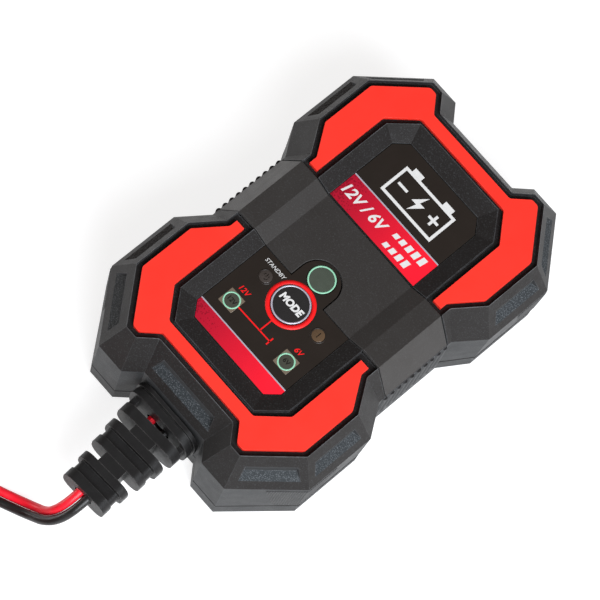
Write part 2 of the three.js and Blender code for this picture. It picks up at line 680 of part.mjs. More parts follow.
// Ribs joined in turn by a narrow web, with a notch on each side, and by a sunken core.
function strainRelief() {
  const halfWidth = (s) => THREE.MathUtils.mapLinear(s, 7, RELIEF_LONG, 8.6, 6.1);
  const halfHeight = (s) => THREE.MathUtils.mapLinear(s, 7, RELIEF_LONG, 4.3, 3.4);
  const ribs = [[5.2, 7.9], [10.1, 12.4], [15.0, 17.2], [20.0, 22.1], [24.9, RELIEF_LONG]];
  const webs = [[7.8, 10.2], [17.1, 20.1]];
  const cores = [[12.3, 15.1], [22.0, 25.0]];
  const [postFrom, postTo] = [3.2, 5.3];
  const sunk = 1.6;
  const stepIn = 0.7;
  const pieces = [
    reliefPlate(-4.5, -3.0, 8.6, 4.8, false),
    reliefPlate(-3.1, 1, 7.2, 3.4, false),
    reliefPlate(GAP, 1.3, 10.0, 6.4, false),
    reliefPlate(1.2, 1.9, 9.2, 5.6, false),
    reliefPlate(1.8, 3.6, 9.7, 6.1, false),
  ];
  for (const [from, to] of ribs) pieces.push(reliefPlate(from, to, halfWidth(from), halfHeight(from)));
  for (const [from, to] of webs) pieces.push(reliefBar(from, to, -3.2, 3.2, halfHeight(from)));
  for (const [from, to] of cores) {
    pieces.push(reliefPlate(from, to, halfWidth(from) - stepIn, halfHeight(from) - sunk));
  }
  const postOut = halfWidth(postFrom) - stepIn;
  const postIn = postOut - 1.5;
  pieces.push(reliefBar(postFrom, postTo, postIn, postOut, halfHeight(postFrom) - sunk));
  pieces.push(reliefBar(postFrom, postTo, -postOut, -postIn, halfHeight(postFrom) - sunk));
  const [wideBore, narrowBore] = [7.4, 5.2].map((width) => roundedBox(width, 2.9, 1.4, 3));
  const bore = loft([
    { points: wideBore, z: -5 }, { points: wideBore, z: 5 },
    { points: narrowBore, z: 10 }, { points: narrowBore, z: RELIEF_LONG + 1 },
  ]);
  return union(...pieces).subtract(solid(placeRelief(surface(bore).rotateX(Math.PI / 2))));
}

// ---------- wires and the lead ----------

function reliefPoint(side, s, apart) {
  const angle = s > 1.5 ? RELIEF_BEND : 0;
  const reach = s - 1.5;
  const across = side * apart;
  return [
    across * Math.cos(angle) + reach * Math.sin(angle),
    RELIEF_WALL_Y - 1.5 + across * Math.sin(angle) - reach * Math.cos(angle),
    LEAD_Z,
  ];
}

// Inside the case and the strain relief; -1 is the red wire, 1 the black one.
function outputWire(side) {
  const path = [
    [side * 3, -36.5, UNDER_Z],
    [side * 3, -36.8, 18.5],
    [side * 2.6, -38.6, 15.6],
    [side * 2.3, -41.5, LEAD_Z],
    reliefPoint(side, -3, 2.2),
    reliefPoint(side, 4.5, 2.1),
    reliefPoint(side, 10, 1.2),
    reliefPoint(side, 18, 1.2),
    reliefPoint(side, RELIEF_LONG, 1.2),
  ];
  return tube(path, WIRE_D / 2 - 0.02, 36);
}

// Centre of the wire pair from the strain relief to the floor, to where it meets the coil.
const FREE_ROUTE = [
  [1.6, -76.85, 14.05], [1.45, -79.55, 12.85], [0.9, -81.8, 10.95], [-0.2, -83.45, 8.6], [-1.8, -84.4, 6.2],
  [-3.9, -84.95, 4.0], [-6.35, -85.7, 2.35], [-9.05, -86.7, 1.4], [-11.8, -87.9, 1.17], [-14.6, -89.1, 1.17],
];

// From the top of the coil to the quick connector that lies on it.
const TAIL_ROUTE = [
  [-35.1, -98.2, 10.8], [-39.6, -101.2, 10.8], [-43.3, -106.0, 10.8], [-45.6, -111.5, 10.8],
  [-46.4, -117.4, 10.8], [-46.4, -123.0, 10.8], [-45.2, -128.2, 10.9], [-42.4, -132.8, 11.5],
  [-38.4, -135.9, 12.7], [-33.6, -137.0, 13.4],
];

// Moves a route sideways, level with the floor, to the lane of one wire of the pair.
function lane(route, side) {
  return route.map(([x, y, z], i) => {
    const [ax, ay] = route[Math.max(i - 1, 0)];
    const [bx, by] = route[Math.min(i + 1, route.length - 1)];
    const length = Math.hypot(bx - ax, by - ay);
    const shift = (side * (WIRE_D + 0.1)) / 2;
    return [x - (shift * (by - ay)) / length, y + (shift * (bx - ax)) / length, z];
  });
}

function leadCoil() {
  const inner = COIL_OUTER_LANE - LANE_PITCH * TURNS_PER_LEVEL - LANE_PITCH / 2;
  const outer = COIL_OUTER_LANE + LANE_PITCH / 2;
  const top = COIL_FLOOR + COIL_LEVELS * LEVEL_PITCH;
  const profile = [
    [inner, COIL_FLOOR + 1], [inner + 1, COIL_FLOOR], [outer - 1, COIL_FLOOR], [outer, COIL_FLOOR + 1],
    [outer, top - 1], [outer - 1, top], [inner + 1, top], [inner, top - 1], [inner, COIL_FLOOR + 1],
  ];
  const outline = profile.map(([r, z]) => new THREE.Vector2(r, z));
  const ring = solid(new THREE.LatheGeometry(outline, 40).rotateX(Math.PI / 2).translate(...COIL_AT, 0));
  const half = TIE_HALF + GAP;
  const passage = atTie(span(TIE_INNER - 2, TIE_OUTER + 2, -half, half, -1, TIE_THICK + GAP));
  return union(ring, coilArm(-1), coilArm(1)).subtract(passage);
}

function atTie(manifold) {
  return manifold.rotate([0, 0, TIE_ANGLE]).translate([...COIL_AT, 0]);
}

// One wire of the lead on its straight way from the end of the free route into the outer turn.
function coilArm(side) {
  const last = new THREE.Vector3(...FREE_ROUTE[FREE_ROUTE.length - 1]);
  const entry = new THREE.Vector3(
    COIL_AT[0] + COIL_OUTER_LANE * Math.cos(COIL_ENTRY_ANGLE),
    COIL_AT[1] + COIL_OUTER_LANE * Math.sin(COIL_ENTRY_ANGLE),
    COIL_FLOOR + WIRE_D / 2,
  );
  const start = last.clone().addScaledVector(entry.clone().sub(last).normalize(), GAP);
  const [from, to] = lane([start.toArray(), entry.toArray()], side);
  return rod(WIRE_D / 2, from, to, 12);
}

// A strap round the coil, flat on the floor under it.
function leadTie() {
  const top = COIL_FLOOR + COIL_LEVELS * LEVEL_PITCH + GAP;
  const outside = span(TIE_INNER - TIE_THICK, TIE_OUTER + TIE_THICK, -TIE_HALF, TIE_HALF, 0, top + TIE_THICK);
  return atTie(outside.subtract(span(TIE_INNER, TIE_OUTER, -TIE_HALF - 1, TIE_HALF + 1, TIE_THICK, top)));
}

const PLUG_AT = [-33.2, -137.0, 13.4];

function connectorBody() {
  const body = box(18, 13, 7.4, 9.2, 0, 0);
  const barrel = rod(3.1, [18, 3.2, 0], [29, 3.2, 0], 24);
  const entry = [-1.17, 1.17].map((y) => rod(1.4, [-1, y, 0], [4, y, 0], 16));
  const sleeveBore = rod(2.2, [12, 3.2, 0], [30, 3.2, 0], 24);
  const pinBore = rod(1.9, [12, -3.2, 0], [20, -3.2, 0], 20);
  return less(body.add(barrel), ...entry, sleeveBore, pinBore).translate(PLUG_AT);
}

function connectorPin() {
  const profile = [[0, 0], [1.7, 0], [1.7, 13.2], [1.2, 14.4], [0, 14.8]];
  const outline = profile.map(([r, z]) => new THREE.Vector2(r, z));
  const pin = new THREE.LatheGeometry(outline, 20).rotateZ(-Math.PI / 2);
  return solid(pin.translate(12.4, -3.2, 0)).translate(PLUG_AT);
}

function connectorSleeve() {
  const outside = rod(2.0, [12.4, 3.2, 0], [28.4, 3.2, 0], 20);
  const bore = rod(1.5, [16, 3.2, 0], [30, 3.2, 0], 20);
  return outside.subtract(bore).translate(PLUG_AT);
}

// ---------- assembly ----------

node('rear_cover', rearCover(), 'rubber');
node('front_shell', frontShell(), 'rubber');
node('case_gasket', caseGasket(), 'blackPlastic');
node('red_inlay_upper', redInlay(1), 'red');
node('red_inlay_lower', redInlay(-1), 'red');
node('saddle_band', saddleBand(), 'blackPlastic');
node('upper_label', upperLabel(), 'label');
node('lower_label', lowerLabel(), 'label');

node('mode_button', modeButton(), 'blackPlastic');
node('switch_plunger', switchPlunger(), 'white');
node('switch_base', switchBase(), 'chip');

const windowHalf = WINDOW_SIDE / 2;
const squareWindow = (x) => (low, high) => span(
  x - windowHalf, x + windowHalf, WINDOW_Y - windowHalf, WINDOW_Y + windowHalf, low, high);
node('status_lens', windowSolid((low, high) => disc(STATUS_R, low, high, 0, STATUS_Y)), 'clear');
node('lens_12v', windowSolid(squareWindow(-WINDOW_X)), 'clear');
node('lens_6v', windowSolid(squareWindow(WINDOW_X)), 'clear');
node('lens_standby', windowSolid((low, high) => disc(DOT_R, low, high, ...STANDBY_AT, 20)), 'clear');
node('lens_fault', windowSolid((low, high) => disc(DOT_R, low, high, ...FAULT_AT, 20)), 'clear');

const LAMPS = {
  led_status: [0, STATUS_Y],
  led_12v: [-WINDOW_X, WINDOW_Y],
  led_6v: [WINDOW_X, WINDOW_Y],
  led_standby: STANDBY_AT,
  led_fault: FAULT_AT,
};
for (const [name, [x, y]] of Object.entries(LAMPS)) lamp(name, x, y);
node('light_baffle', lightBaffle(Object.values(LAMPS)), 'blackPlastic');

node('circuit_board', circuitBoard(), 'board');
node('transformer_core', transformerCore(), 'ferrite');
node('transformer_winding', transformerWinding(), 'yellow');
node('mains_capacitor', canCapacitor(5, 15.5, 13, -8), 'chip');
node('output_capacitor', canCapacitor(4, 12.5, -16, -34), 'blue');
node('x_capacitor', box(6, 13, 10, 17, 12, UNDER_Z - 5), 'yellow');
node('choke', choke(), 'copper');
node('bridge_rectifier', box(8, 7, 4, 9, 4.6, UNDER_Z - 2), 'chip');
node('fuse', fuse(), 'ceramic');
node('power_transistor', powerTransistor(), 'chip');
node('heat_sink', heatSink(), 'aluminium');
node('control_chip', box(7, 7, 1.4, 0, 12, BOARD_TOP_Z + GAP + 0.7), 'chip');

node('blade_carrier', bladeCarrier(), 'blackPlastic');
node('blade_pin', bladePin(), 'steel');
for (const [word, side] of [['left', -1], ['right', 1]]) {
  node(`plug_blade_${word}`, plugBlade(side), 'brass');
  node(`contact_spring_${word}`, contactSpring(side), 'copper');
  node(`mains_wire_${word}`, mainsWire(side), 'blackWire');
}

for (const [i, [sx, sy]] of [[1, 1], [-1, 1], [-1, -1], [1, -1]].entries()) {
  const [x, y] = [sx * POST_AT[0], sy * POST_AT[1]];
  const screw = union(disc(SCREW_HEAD_R, 1.2, 3.3, x, y, 20), disc(SCREW_R - 0.05, 3, 18, x, y, 12));
  const drive = union(box(3, 0.8, 1.6, x, y, 1.2), box(0.8, 3, 1.6, x, y, 1.2));
  node(`case_screw_${i + 1}`, screw.subtract(drive), 'steel');
}

node('strain_relief', strainRelief(), 'rubber');
node('output_wire_red', outputWire(-1), 'redWire');
node('output_wire_black', outputWire(1), 'blackWire');
node('lead_red', tube(lane(FREE_ROUTE, -1), WIRE_D / 2, 16), 'redWire');
node('lead_black', tube(lane(FREE_ROUTE, 1), WIRE_D / 2, 16), 'blackWire');
node('lead_coil', leadCoil(), 'blackWire');
node('lead_tie', leadTie(), 'blackPlastic');
node('tail_red', tube(lane(TAIL_ROUTE, -1), WIRE_D / 2, 20), 'redWire');
node('tail_black', tube(lane(TAIL_ROUTE, 1), WIRE_D / 2, 20), 'blackWire');
node('connector_body', connectorBody(), 'blackPlastic');
node('connector_pin', connectorPin(), 'brass');
node('connector_sleeve', connectorSleeve(), 'brass');

export default charger;
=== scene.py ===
"""Looks for a small plug-in battery charger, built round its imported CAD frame.

Lengths are in millimetres until they reach Blender, which works in metres. +X runs across the face,
+Y up the face away from the lead, and +Z out of the face; the back lies on the floor at z = 0.
"""

import math

import bmesh
import bpy
from mathutils import Matrix, Vector


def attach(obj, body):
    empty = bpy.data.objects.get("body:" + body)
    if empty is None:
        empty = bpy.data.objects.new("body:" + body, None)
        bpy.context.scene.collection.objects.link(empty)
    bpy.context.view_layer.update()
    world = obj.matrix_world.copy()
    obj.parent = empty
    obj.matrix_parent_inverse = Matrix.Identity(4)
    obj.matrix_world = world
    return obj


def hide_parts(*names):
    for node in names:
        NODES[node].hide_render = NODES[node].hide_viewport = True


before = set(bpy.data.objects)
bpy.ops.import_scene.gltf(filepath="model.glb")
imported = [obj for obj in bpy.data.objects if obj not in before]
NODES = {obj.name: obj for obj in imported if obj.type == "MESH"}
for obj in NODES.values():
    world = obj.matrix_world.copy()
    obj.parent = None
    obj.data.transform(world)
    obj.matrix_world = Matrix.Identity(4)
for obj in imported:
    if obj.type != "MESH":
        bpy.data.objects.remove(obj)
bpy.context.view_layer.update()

MM = 0.001

# ---------- sizes shared with the CAD, in millimetres ----------

LABEL_Z = 30.4
CREASE_Z = 22.1                      # where the walls end and the sloping facets begin
PARTING_Z = 6.7
SLOT_LOW_Z, SLOT_HIGH_Z = 24.2, 26.8
SADDLE_HIGH_Y = 10.4
LABEL_CORNERS = [(14.4, 30.3), (11.6, 33.6)]
BUTTON_AT = (0.0, -14.5)
BUTTON_R = 4.7
BUTTON_PROUD = 0.4
BUTTON_RING_R = 5.95
STATUS_AT = (0.0, -4.9)
STATUS_R = 3.3
WINDOW_X = 9.4
WINDOW_Y = -24.3
WINDOW_HALF = 2.25
DOT_R = 1.6
STANDBY_AT = (-8.7, -14.45)
FAULT_AT = (9.4, -14.45)
CASE_SCREWS = 4

WIRE_D = 2.24
WIRE_APART = WIRE_D + 0.1
COIL_AT = (-22.5, -123.5)
COIL_OUTER_LANE = 28.3
COIL_FLOOR = 0.05
LANE_PITCH = 4.7
LEVEL_PITCH = 2.35
TURNS_PER_LEVEL = 2.25
COIL_LEVELS = 4
COIL_ENTRY = math.radians(116.3)
TIE_ANGLE = math.radians(25)
TIE_THICK = 0.9

# ---------- sizes of what this script adds, in millimetres ----------

INK_THICK = 0.03
INK_LOW = LABEL_Z - 0.01
INK_HIGH = LABEL_Z + INK_THICK
RING_SIDES = 64
DISC_SIDES = 48

# ---------- colours used in two places ----------

RED_JACKET = (0.86, 0.010, 0.026)
BLACK_JACKET = (0.0095, 0.0085, 0.0080)

# ---------- camera ----------

CAMERA_AT = (0.0970, -0.2349, 0.6999)
CAMERA_RIGHT = (0.6585, 0.7373, 0.1505)
CAMERA_BACK = (0.1356, -0.3129, 0.9401)
CAMERA_LENS = 187.7


def add_camera():
    """A long lens that looks down at the face from about 70 degrees above the floor."""
    data = bpy.data.cameras.new("camera")
    data.sensor_width = 36
    data.lens = CAMERA_LENS
    data.clip_start = 0.05
    data.clip_end = 20
    camera = bpy.data.objects.new("camera", data)
    bpy.context.scene.collection.objects.link(camera)
    back = Vector(CAMERA_BACK).normalized()
    right = Vector(CAMERA_RIGHT)
    right = (right - back * right.dot(back)).normalized()
    turn = Matrix((right, back.cross(right), back)).transposed().to_4x4()
    camera.matrix_world = Matrix.Translation(CAMERA_AT) @ turn
    bpy.context.scene.camera = camera


# ---------- procedural materials ----------

RAMP_TOP = 40.0                      # the height in millimetres at which the height ramps end


class Finish:
    """A material under construction: its shader, and the nodes that vary it over the surface."""

    def __init__(self, name, colour, roughness, **fixed):
        self.material = bpy.data.materials.new(name)
        self.material.use_nodes = True
        self.tree = self.material.node_tree
        self.shader = self.tree.nodes["Principled BSDF"]
        self.shader.inputs["Base Color"].default_value = (*colour, 1)
        self.shader.inputs["Roughness"].default_value = roughness
        for socket, value in fixed.items():
            self.shader.inputs[socket.replace("_", " ")].default_value = value
        self.place = self.tree.nodes.new("ShaderNodeTexCoord").outputs["Object"]
        self.material.diffuse_color = (*colour, 1)

    def add(self, kind, **settings):
        made = self.tree.nodes.new(kind)
        for setting, value in settings.items():
            setattr(made, setting, value)
        return made

    def link(self, source, target):
        self.tree.links.new(source, target)

    def stretched(self, x, y, z):
        """The place, scaled on each axis, for a pattern that runs one way."""
        mapping = self.add("ShaderNodeMapping")
        mapping.inputs["Scale"].default_value = (x, y, z)
        self.link(self.place, mapping.inputs["Vector"])
        return mapping.outputs["Vector"]

    def noise(self, size, detail=3.0, place=None):
        """Soft blotches about size millimetres across, from 0 to 1."""
        made = self.add("ShaderNodeTexNoise")
        made.inputs["Scale"].default_value = 1000 / size
        made.inputs["Detail"].default_value = detail
        self.link(place or self.place, made.inputs["Vector"])
        return made.outputs["Fac"]

    def cells(self, size, feature="F1", place=None):
        """Distance to the nearest of points scattered about size millimetres apart."""
        made = self.add("ShaderNodeTexVoronoi", feature=feature)
        made.inputs["Scale"].default_value = 1000 / size
        self.link(place or self.place, made.inputs["Vector"])
        return made.outputs["Distance"]

    def ramp(self, source, *stops):
        """Maps a value to greys: each stop is (position, brightness)."""
        made = self.add("ShaderNodeValToRGB")
        elements = made.color_ramp.elements
        while len(elements) < len(stops):
            elements.new(0.5)
        for element, (position, grey) in zip(elements, stops):
            element.position = position
            element.color = (grey, grey, grey, 1)
        self.link(source, made.inputs["Fac"])
        return made.outputs["Color"]

    def maths(self, operation, first, second):
        made = self.add("ShaderNodeMath", operation=operation)
        for socket, value in zip(made.inputs, (first, second)):
            if isinstance(value, (int, float)):
                socket.default_value = value
            else:
                self.link(value, socket)
        return made.outputs["Value"]

    def axis(self, source, letter):
        made = self.add("ShaderNodeSeparateXYZ")
        self.link(source, made.inputs["Vector"])
        return made.outputs[letter]

    def by_height(self, *stops):
        """Maps height to greys: each stop is (millimetres above the floor, brightness)."""
        share = self.maths("MULTIPLY", self.axis(self.place, "Z"), 1 / (RAMP_TOP * MM))
        return self.ramp(share, *((height / RAMP_TOP, grey) for height, grey in stops))

    def across(self, start, end):
        """Runs from 0 at x = start to 1 at x = end, both in millimetres."""
        spread = self.add("ShaderNodeMapRange")
        spread.inputs["From Min"].default_value = start * MM
        spread.inputs["From Max"].default_value = end * MM
        self.link(self.axis(self.place, "X"), spread.inputs["Value"])
        return spread.outputs["Result"]

    def mix(self, share, first, second):
        """Blends two colours, each a socket or three numbers, by a share socket."""
        made = self.add("ShaderNodeMix", data_type="RGBA")
        self.link(share, made.inputs["Factor"])
        # A Mix node's colours are its inputs 6 and 7 and its output 2.
        for socket, value in ((made.inputs[6], first), (made.inputs[7], second)):
            if isinstance(value, tuple):
                socket.default_value = (*value, 1)
            else:
                self.link(value, socket)
        return made.outputs[2]

    def edges(self, width):
        """1 along the piece's edges, width millimetres wide, and 0 elsewhere."""
        bevel = self.add("ShaderNodeBevel", samples=4)
        bevel.inputs["Radius"].default_value = width * MM
        flat = self.add("ShaderNodeNewGeometry").outputs["Normal"]
        dot = self.add("ShaderNodeVectorMath", operation="DOT_PRODUCT")
        self.link(bevel.outputs["Normal"], dot.inputs[0])
        self.link(flat, dot.inputs[1])
        away = self.maths("SUBTRACT", 1.0, dot.outputs["Value"])
        return self.ramp(away, (0.02, 0.0), (0.25, 1.0))

    def worn_edges(self, width, patch, *stops, detail=5.0):
        """The edges, worn only in patches about patch millimetres across; the stops say how far. On the
        case, the band and the strain relief these pale edges are also painted highlight.
        """
        return self.maths("MULTIPLY", self.edges(width), self.ramp(self.noise(patch, detail), *stops))

    def colour(self, source):
        self.link(source, self.shader.inputs["Base Color"])

    def roughness(self, source, low, high):
        """Spreads a value from 0 to 1 over a range of roughness."""
        spread = self.add("ShaderNodeMapRange")
        spread.inputs["To Min"].default_value = low
        spread.inputs["To Max"].default_value = high
        self.link(source, spread.inputs["Value"])
        self.link(spread.outputs["Result"], self.shader.inputs["Roughness"])

    def bump(self, *layers):
        """Stacks bumps; each layer is (height socket, depth in millimetres)."""
        normal = None
        for height, depth in layers:
            made = self.add("ShaderNodeBump")
            made.inputs["Distance"].default_value = depth * MM
            self.link(height, made.inputs["Height"])
            if normal is not None:
                self.link(normal, made.inputs["Normal"])
            normal = made.outputs["Normal"]
        self.link(normal, self.shader.inputs["Normal"])


def case_body_with_painted_light(finish, tilt):
    """Blotchy rubber with fine glints, a little paler and cooler on the upright walls than on the slopes:
    painted light on the walls, painted shade on the slopes.
    """
    blotch = finish.noise(9.0)
    # Painted light and shade by steepness: upright walls are painted lit and bluish, slopes painted shaded
    # and brownish.
    upright = finish.ramp(tilt, (0.15, 1.0), (0.45, 0.0))
    slopes = finish.mix(blotch, (0.0125, 0.0104, 0.0096), (0.0200, 0.0182, 0.0178))
    walls = finish.mix(blotch, (0.0180, 0.0184, 0.0192), (0.0270, 0.0282, 0.0298))
    glints = finish.ramp(finish.noise(0.32, 2.0), (0.56, 0.0), (0.72, 0.7))
    return finish.mix(glints, finish.mix(upright, slopes, walls), (0.050, 0.052, 0.053))


def slot_grit_light_and_shade(finish, normal):
    """Sparkling grit, brightened as painted light on the slot floors, and a plain dark brown painted as
    shade in the slots that face -X.
    """
    speck = finish.ramp(finish.cells(0.33), (0.18, 1.0), (0.46, 0.0))
    sparkle = finish.maths("MULTIPLY", speck, finish.noise(0.5, 4.0))
    # Real grit specks, painted brighter to stand in for the light on the slot floors.
    grit_and_painted_light = finish.mix(sparkle, (0.028, 0.032, 0.035), (0.165, 0.178, 0.190))
    to_the_left = finish.maths("MULTIPLY", finish.axis(normal, "X"), -1.0)
    # Painted shade: the slots that face -X are painted dark brown.
    left_slot_shade = finish.ramp(to_the_left, (0.40, 0.0), (0.60, 1.0))
    return finish.mix(left_slot_shade, grit_and_painted_light, (0.0100, 0.0070, 0.0055))


def rubbed_rubber_with_painted_light():
    """The case: dark moulded rubber-like plastic, pale at its edges from rubbed wear and painted
    highlight, with a painted shadow along its parting line and painted light and shade in its slots.
    """
    finish = Finish(
        "case_rubber", (0.018, 0.018, 0.019), 0.5,
        Specular_IOR_Level=0.14, Sheen_Weight=0.05, Sheen_Roughness=0.4,
    )
    normal = finish.add("ShaderNodeNewGeometry").outputs["True Normal"]
    tilt = finish.axis(normal, "Z")
    sloping = finish.ramp(tilt, (0.52, 0.0), (0.58, 1.0), (0.86, 1.0), (0.90, 0.0))
    slot_height = finish.by_height(
        (SLOT_LOW_Z - 0.2, 0.0), (SLOT_LOW_Z, 1.0), (SLOT_HIGH_Z, 1.0), (SLOT_HIGH_Z + 0.2, 0.0),
    )
    in_slot = finish.maths("MULTIPLY", sloping, slot_height)
    coloured = finish.mix(in_slot, case_body_with_painted_light(finish, tilt), slot_grit_light_and_shade(finish, normal))
    # Pale edges: partly rubbed wear, partly painted highlight along the crests.
    wear = finish.worn_edges(0.35, 2.6, (0.3, 0.15), (0.65, 0.9))
    rubbed = finish.mix(wear, coloured, (0.125, 0.128, 0.135))
    # Painted shadow: a near-black band along the parting line, where the gap between the halves lies in
    # shade.
    seam_shadow = finish.by_height(
        (PARTING_Z - 0.38, 0.0), (PARTING_Z - 0.22, 1.0), (PARTING_Z + 0.58, 1.0), (PARTING_Z + 0.78, 0.0),
    )
    finish.colour(finish.mix(seam_shadow, rubbed, (0.0012, 0.0010, 0.0010)))
    finish.roughness(finish.noise(3.5, 4.0), 0.40, 0.62)
    coarse = finish.maths("MULTIPLY", in_slot, finish.noise(0.45, 3.0))
    finish.bump((finish.noise(0.22, 2.0), 0.035), (coarse, 0.22))
    return finish.material


def grip_rubber():
    """The ribbed pads: the case's rubber, left matt."""
    finish = Finish("grip_rubber", (0.018, 0.018, 0.019), 0.6)
    finish.colour(finish.mix(finish.noise(4.0, 4.0), (0.0150, 0.0148, 0.0150), (0.0270, 0.0275, 0.0290)))
    finish.roughness(finish.noise(2.0, 4.0), 0.5, 0.7)
    finish.bump((finish.noise(0.3, 2.0), 0.04))
    return finish.material


def satin_black(name, colour):
    """Smooth black plastic, faintly mottled."""
    finish = Finish(name, colour, 0.45)
    lighter = tuple(1.7 * channel for channel in colour)
    finish.colour(finish.mix(finish.noise(7.0), colour, lighter))
    finish.roughness(finish.noise(2.5, 4.0), 0.38, 0.55)
    finish.bump((finish.noise(0.25, 2.0), 0.03))
    return finish.material


def saddle_plastic():
    """The band over the waist: black plastic with a fine even grain, and pale edges that are partly rubbed
    wear and partly painted highlight.
    """
    finish = Finish(
        "saddle_plastic", (0.018, 0.017, 0.016), 0.5,
        Specular_IOR_Level=0.3, Sheen_Weight=0.10, Sheen_Roughness=0.4,
    )
    plain = finish.mix(finish.noise(8.0), (0.0250, 0.0215, 0.0195), (0.0340, 0.0310, 0.0290))
    glints = finish.ramp(finish.noise(0.3, 2.0), (0.56, 0.0), (0.72, 0.6))
    body = finish.mix(glints, plain, (0.055, 0.055, 0.054))
    # Pale edges: partly rubbed wear, partly painted highlight along the crest.
    wear = finish.worn_edges(0.3, 2.0, (0.35, 0.0), (0.7, 0.9))
    finish.colour(finish.mix(wear, body, (0.11, 0.11, 0.11)))
    finish.roughness(finish.noise(3.0, 4.0), 0.42, 0.60)
    finish.bump((finish.noise(0.2, 2.0), 0.035))
    return finish.material


def red_plastic():
    """The bright inlays: satin red plastic, paler where its edges are rubbed."""
    finish = Finish("red_plastic", (0.98, 0.028, 0.016), 0.45, Specular_IOR_Level=0.35)
    body = finish.mix(finish.noise(12.0), (0.95, 0.030, 0.017), (1.0, 0.042, 0.025))
    wear = finish.worn_edges(0.25, 1.6, (0.4, 0.0), (0.75, 0.6), detail=4.0)
    finish.colour(finish.mix(wear, body, (1.0, 0.20, 0.15)))
    finish.roughness(finish.noise(4.0, 4.0), 0.34, 0.52)
    finish.bump((finish.noise(0.3, 2.0), 0.02))
    return finish.material


def label_film():
    """Printed plastic film: near black, faintly mottled, with a soft orange-peel surface."""
    finish = Finish("label_film", (0.010, 0.007, 0.006), 0.32, Specular_IOR_Level=0.28)
    finish.colour(finish.mix(finish.noise(6.0), (0.0155, 0.0112, 0.0086), (0.0215, 0.0158, 0.0125)))
    finish.roughness(finish.noise(5.0, 4.0), 0.28, 0.42)
    finish.bump((finish.noise(1.4, 2.0), 0.03), (finish.noise(0.18, 1.0), 0.008))
    return finish.material


def crimson_print(name, fade_from, fade_to):
    """Crimson ink, deeper towards -X; halftone dots darken it from one x to another."""
    finish = Finish(name, (0.80, 0.012, 0.040), 0.4, Specular_IOR_Level=0.18)
    dots = finish.cells(0.5, place=finish.stretched(1.0, 1.0, 0.0))
    dot_size = finish.maths("MULTIPLY", finish.across(fade_from, fade_to), 0.55)
    dotted = finish.ramp(finish.maths("SUBTRACT", dot_size, dots), (0.0, 0.0), (0.1, 0.75))
    label_side = LABEL_CORNERS[0][0]
    leftward = finish.across(label_side, -label_side)
    deeper = finish.ramp(leftward, (0.15, 0.0), (0.75, 0.75), (1.0, 0.95))
    ink = finish.mix(finish.noise(3.0), (0.84, 0.010, 0.028), (0.95, 0.014, 0.034))
    shaded = finish.mix(deeper, ink, (0.38, 0.006, 0.026))
    finish.colour(finish.mix(dotted, shaded, (0.22, 0.004, 0.014)))
    finish.roughness(finish.noise(2.0, 3.0), 0.32, 0.46)
    finish.bump((finish.noise(0.5, 2.0), 0.012))
    return finish.material


def printed(name, colour):
    """Screen-printed ink: slightly uneven cover and gloss."""
    finish = Finish(name, colour, 0.4, Specular_IOR_Level=0.25)
    thin = tuple(0.82 * channel for channel in colour)
    finish.colour(finish.mix(finish.noise(0.8, 3.0), thin, colour))
    finish.roughness(finish.noise(0.6, 3.0), 0.32, 0.5)
    finish.bump((finish.noise(0.25, 2.0), 0.008))
    return finish.material


def silver_foil():
    """Dull silver foil for the lines and the button's edge."""
    finish = Finish("silver_foil", (0.48, 0.46, 0.53), 0.35, Metallic=0.3)
    finish.colour(finish.mix(finish.noise(1.2, 4.0), (0.42, 0.40, 0.47), (0.58, 0.56, 0.64)))
    finish.roughness(finish.noise(0.7, 4.0), 0.25, 0.5)
    finish.bump((finish.noise(0.3, 2.0), 0.012))
    return finish.material


def lamp_window(name, colour):
    """Diffusing plastic over a lamp: smooth, faintly cloudy."""
    finish = Finish(name, colour, 0.22, Coat_Weight=0.2, Coat_Roughness=0.1, IOR=1.45)
    cloudy = tuple(min(1.0, 1.35 * channel) for channel in colour)
    finish.colour(finish.mix(finish.noise(1.8, 4.0), colour, cloudy))
    finish.roughness(finish.noise(1.2, 4.0), 0.16, 0.32)
    finish.bump((finish.noise(0.6, 2.0), 0.01))
    return finish.material


def wire_jacket(name, colour):
    """Soft PVC: drawn lengthways, with a waxy sheen and a little dust."""
    finish = Finish(name, colour, 0.4, Specular_IOR_Level=0.35, Coat_Weight=0.08, Coat_Roughness=0.3)
    dusty = tuple(channel + 0.02 for channel in colour)
    finish.colour(finish.mix(finish.ramp(finish.noise(3.0, 5.0), (0.45, 0.0), (0.8, 0.5)), colour, dusty))
    finish.roughness(finish.noise(1.5, 4.0), 0.28, 0.48)
    finish.bump((finish.noise(0.5, 3.0), 0.02))
    return finish.material


def relief_rubber():
    """The strain relief: softer black rubber, grey along its ribs' edges, partly from rubbed wear and
    partly painted highlight.
    """
    finish = Finish("relief_rubber", (0.010, 0.010, 0.010), 0.45, Specular_IOR_Level=0.3)
    body = finish.mix(finish.noise(3.0, 4.0), (0.0075, 0.0070, 0.0070), (0.0150, 0.0145, 0.0145))
    # Grey edges: partly rubbed wear, partly painted highlight.
    wear = finish.worn_edges(0.3, 1.5, (0.3, 0.1), (0.7, 0.9))
    finish.colour(finish.mix(wear, body, (0.09, 0.085, 0.08)))
    finish.roughness(finish.noise(2.0, 4.0), 0.34, 0.55)
    finish.bump((finish.noise(0.3, 3.0), 0.03))
    return finish.material


def plain_metal(name, colour, low, high, grain):
    """Metal with fine drawn scratches along one axis and faint tarnish."""
    finish = Finish(name, colour, 0.3, Metallic=1.0)
    tarnish = tuple(0.62 * channel for channel in colour)
    finish.colour(finish.mix(finish.ramp(finish.noise(2.5, 5.0), (0.4, 0.0), (0.8, 1.0)), colour, tarnish))
    scratches = finish.noise(0.3, 4.0, finish.stretched(*grain))
    finish.roughness(scratches, low, high)
    finish.bump((scratches, 0.01))
    return finish.material


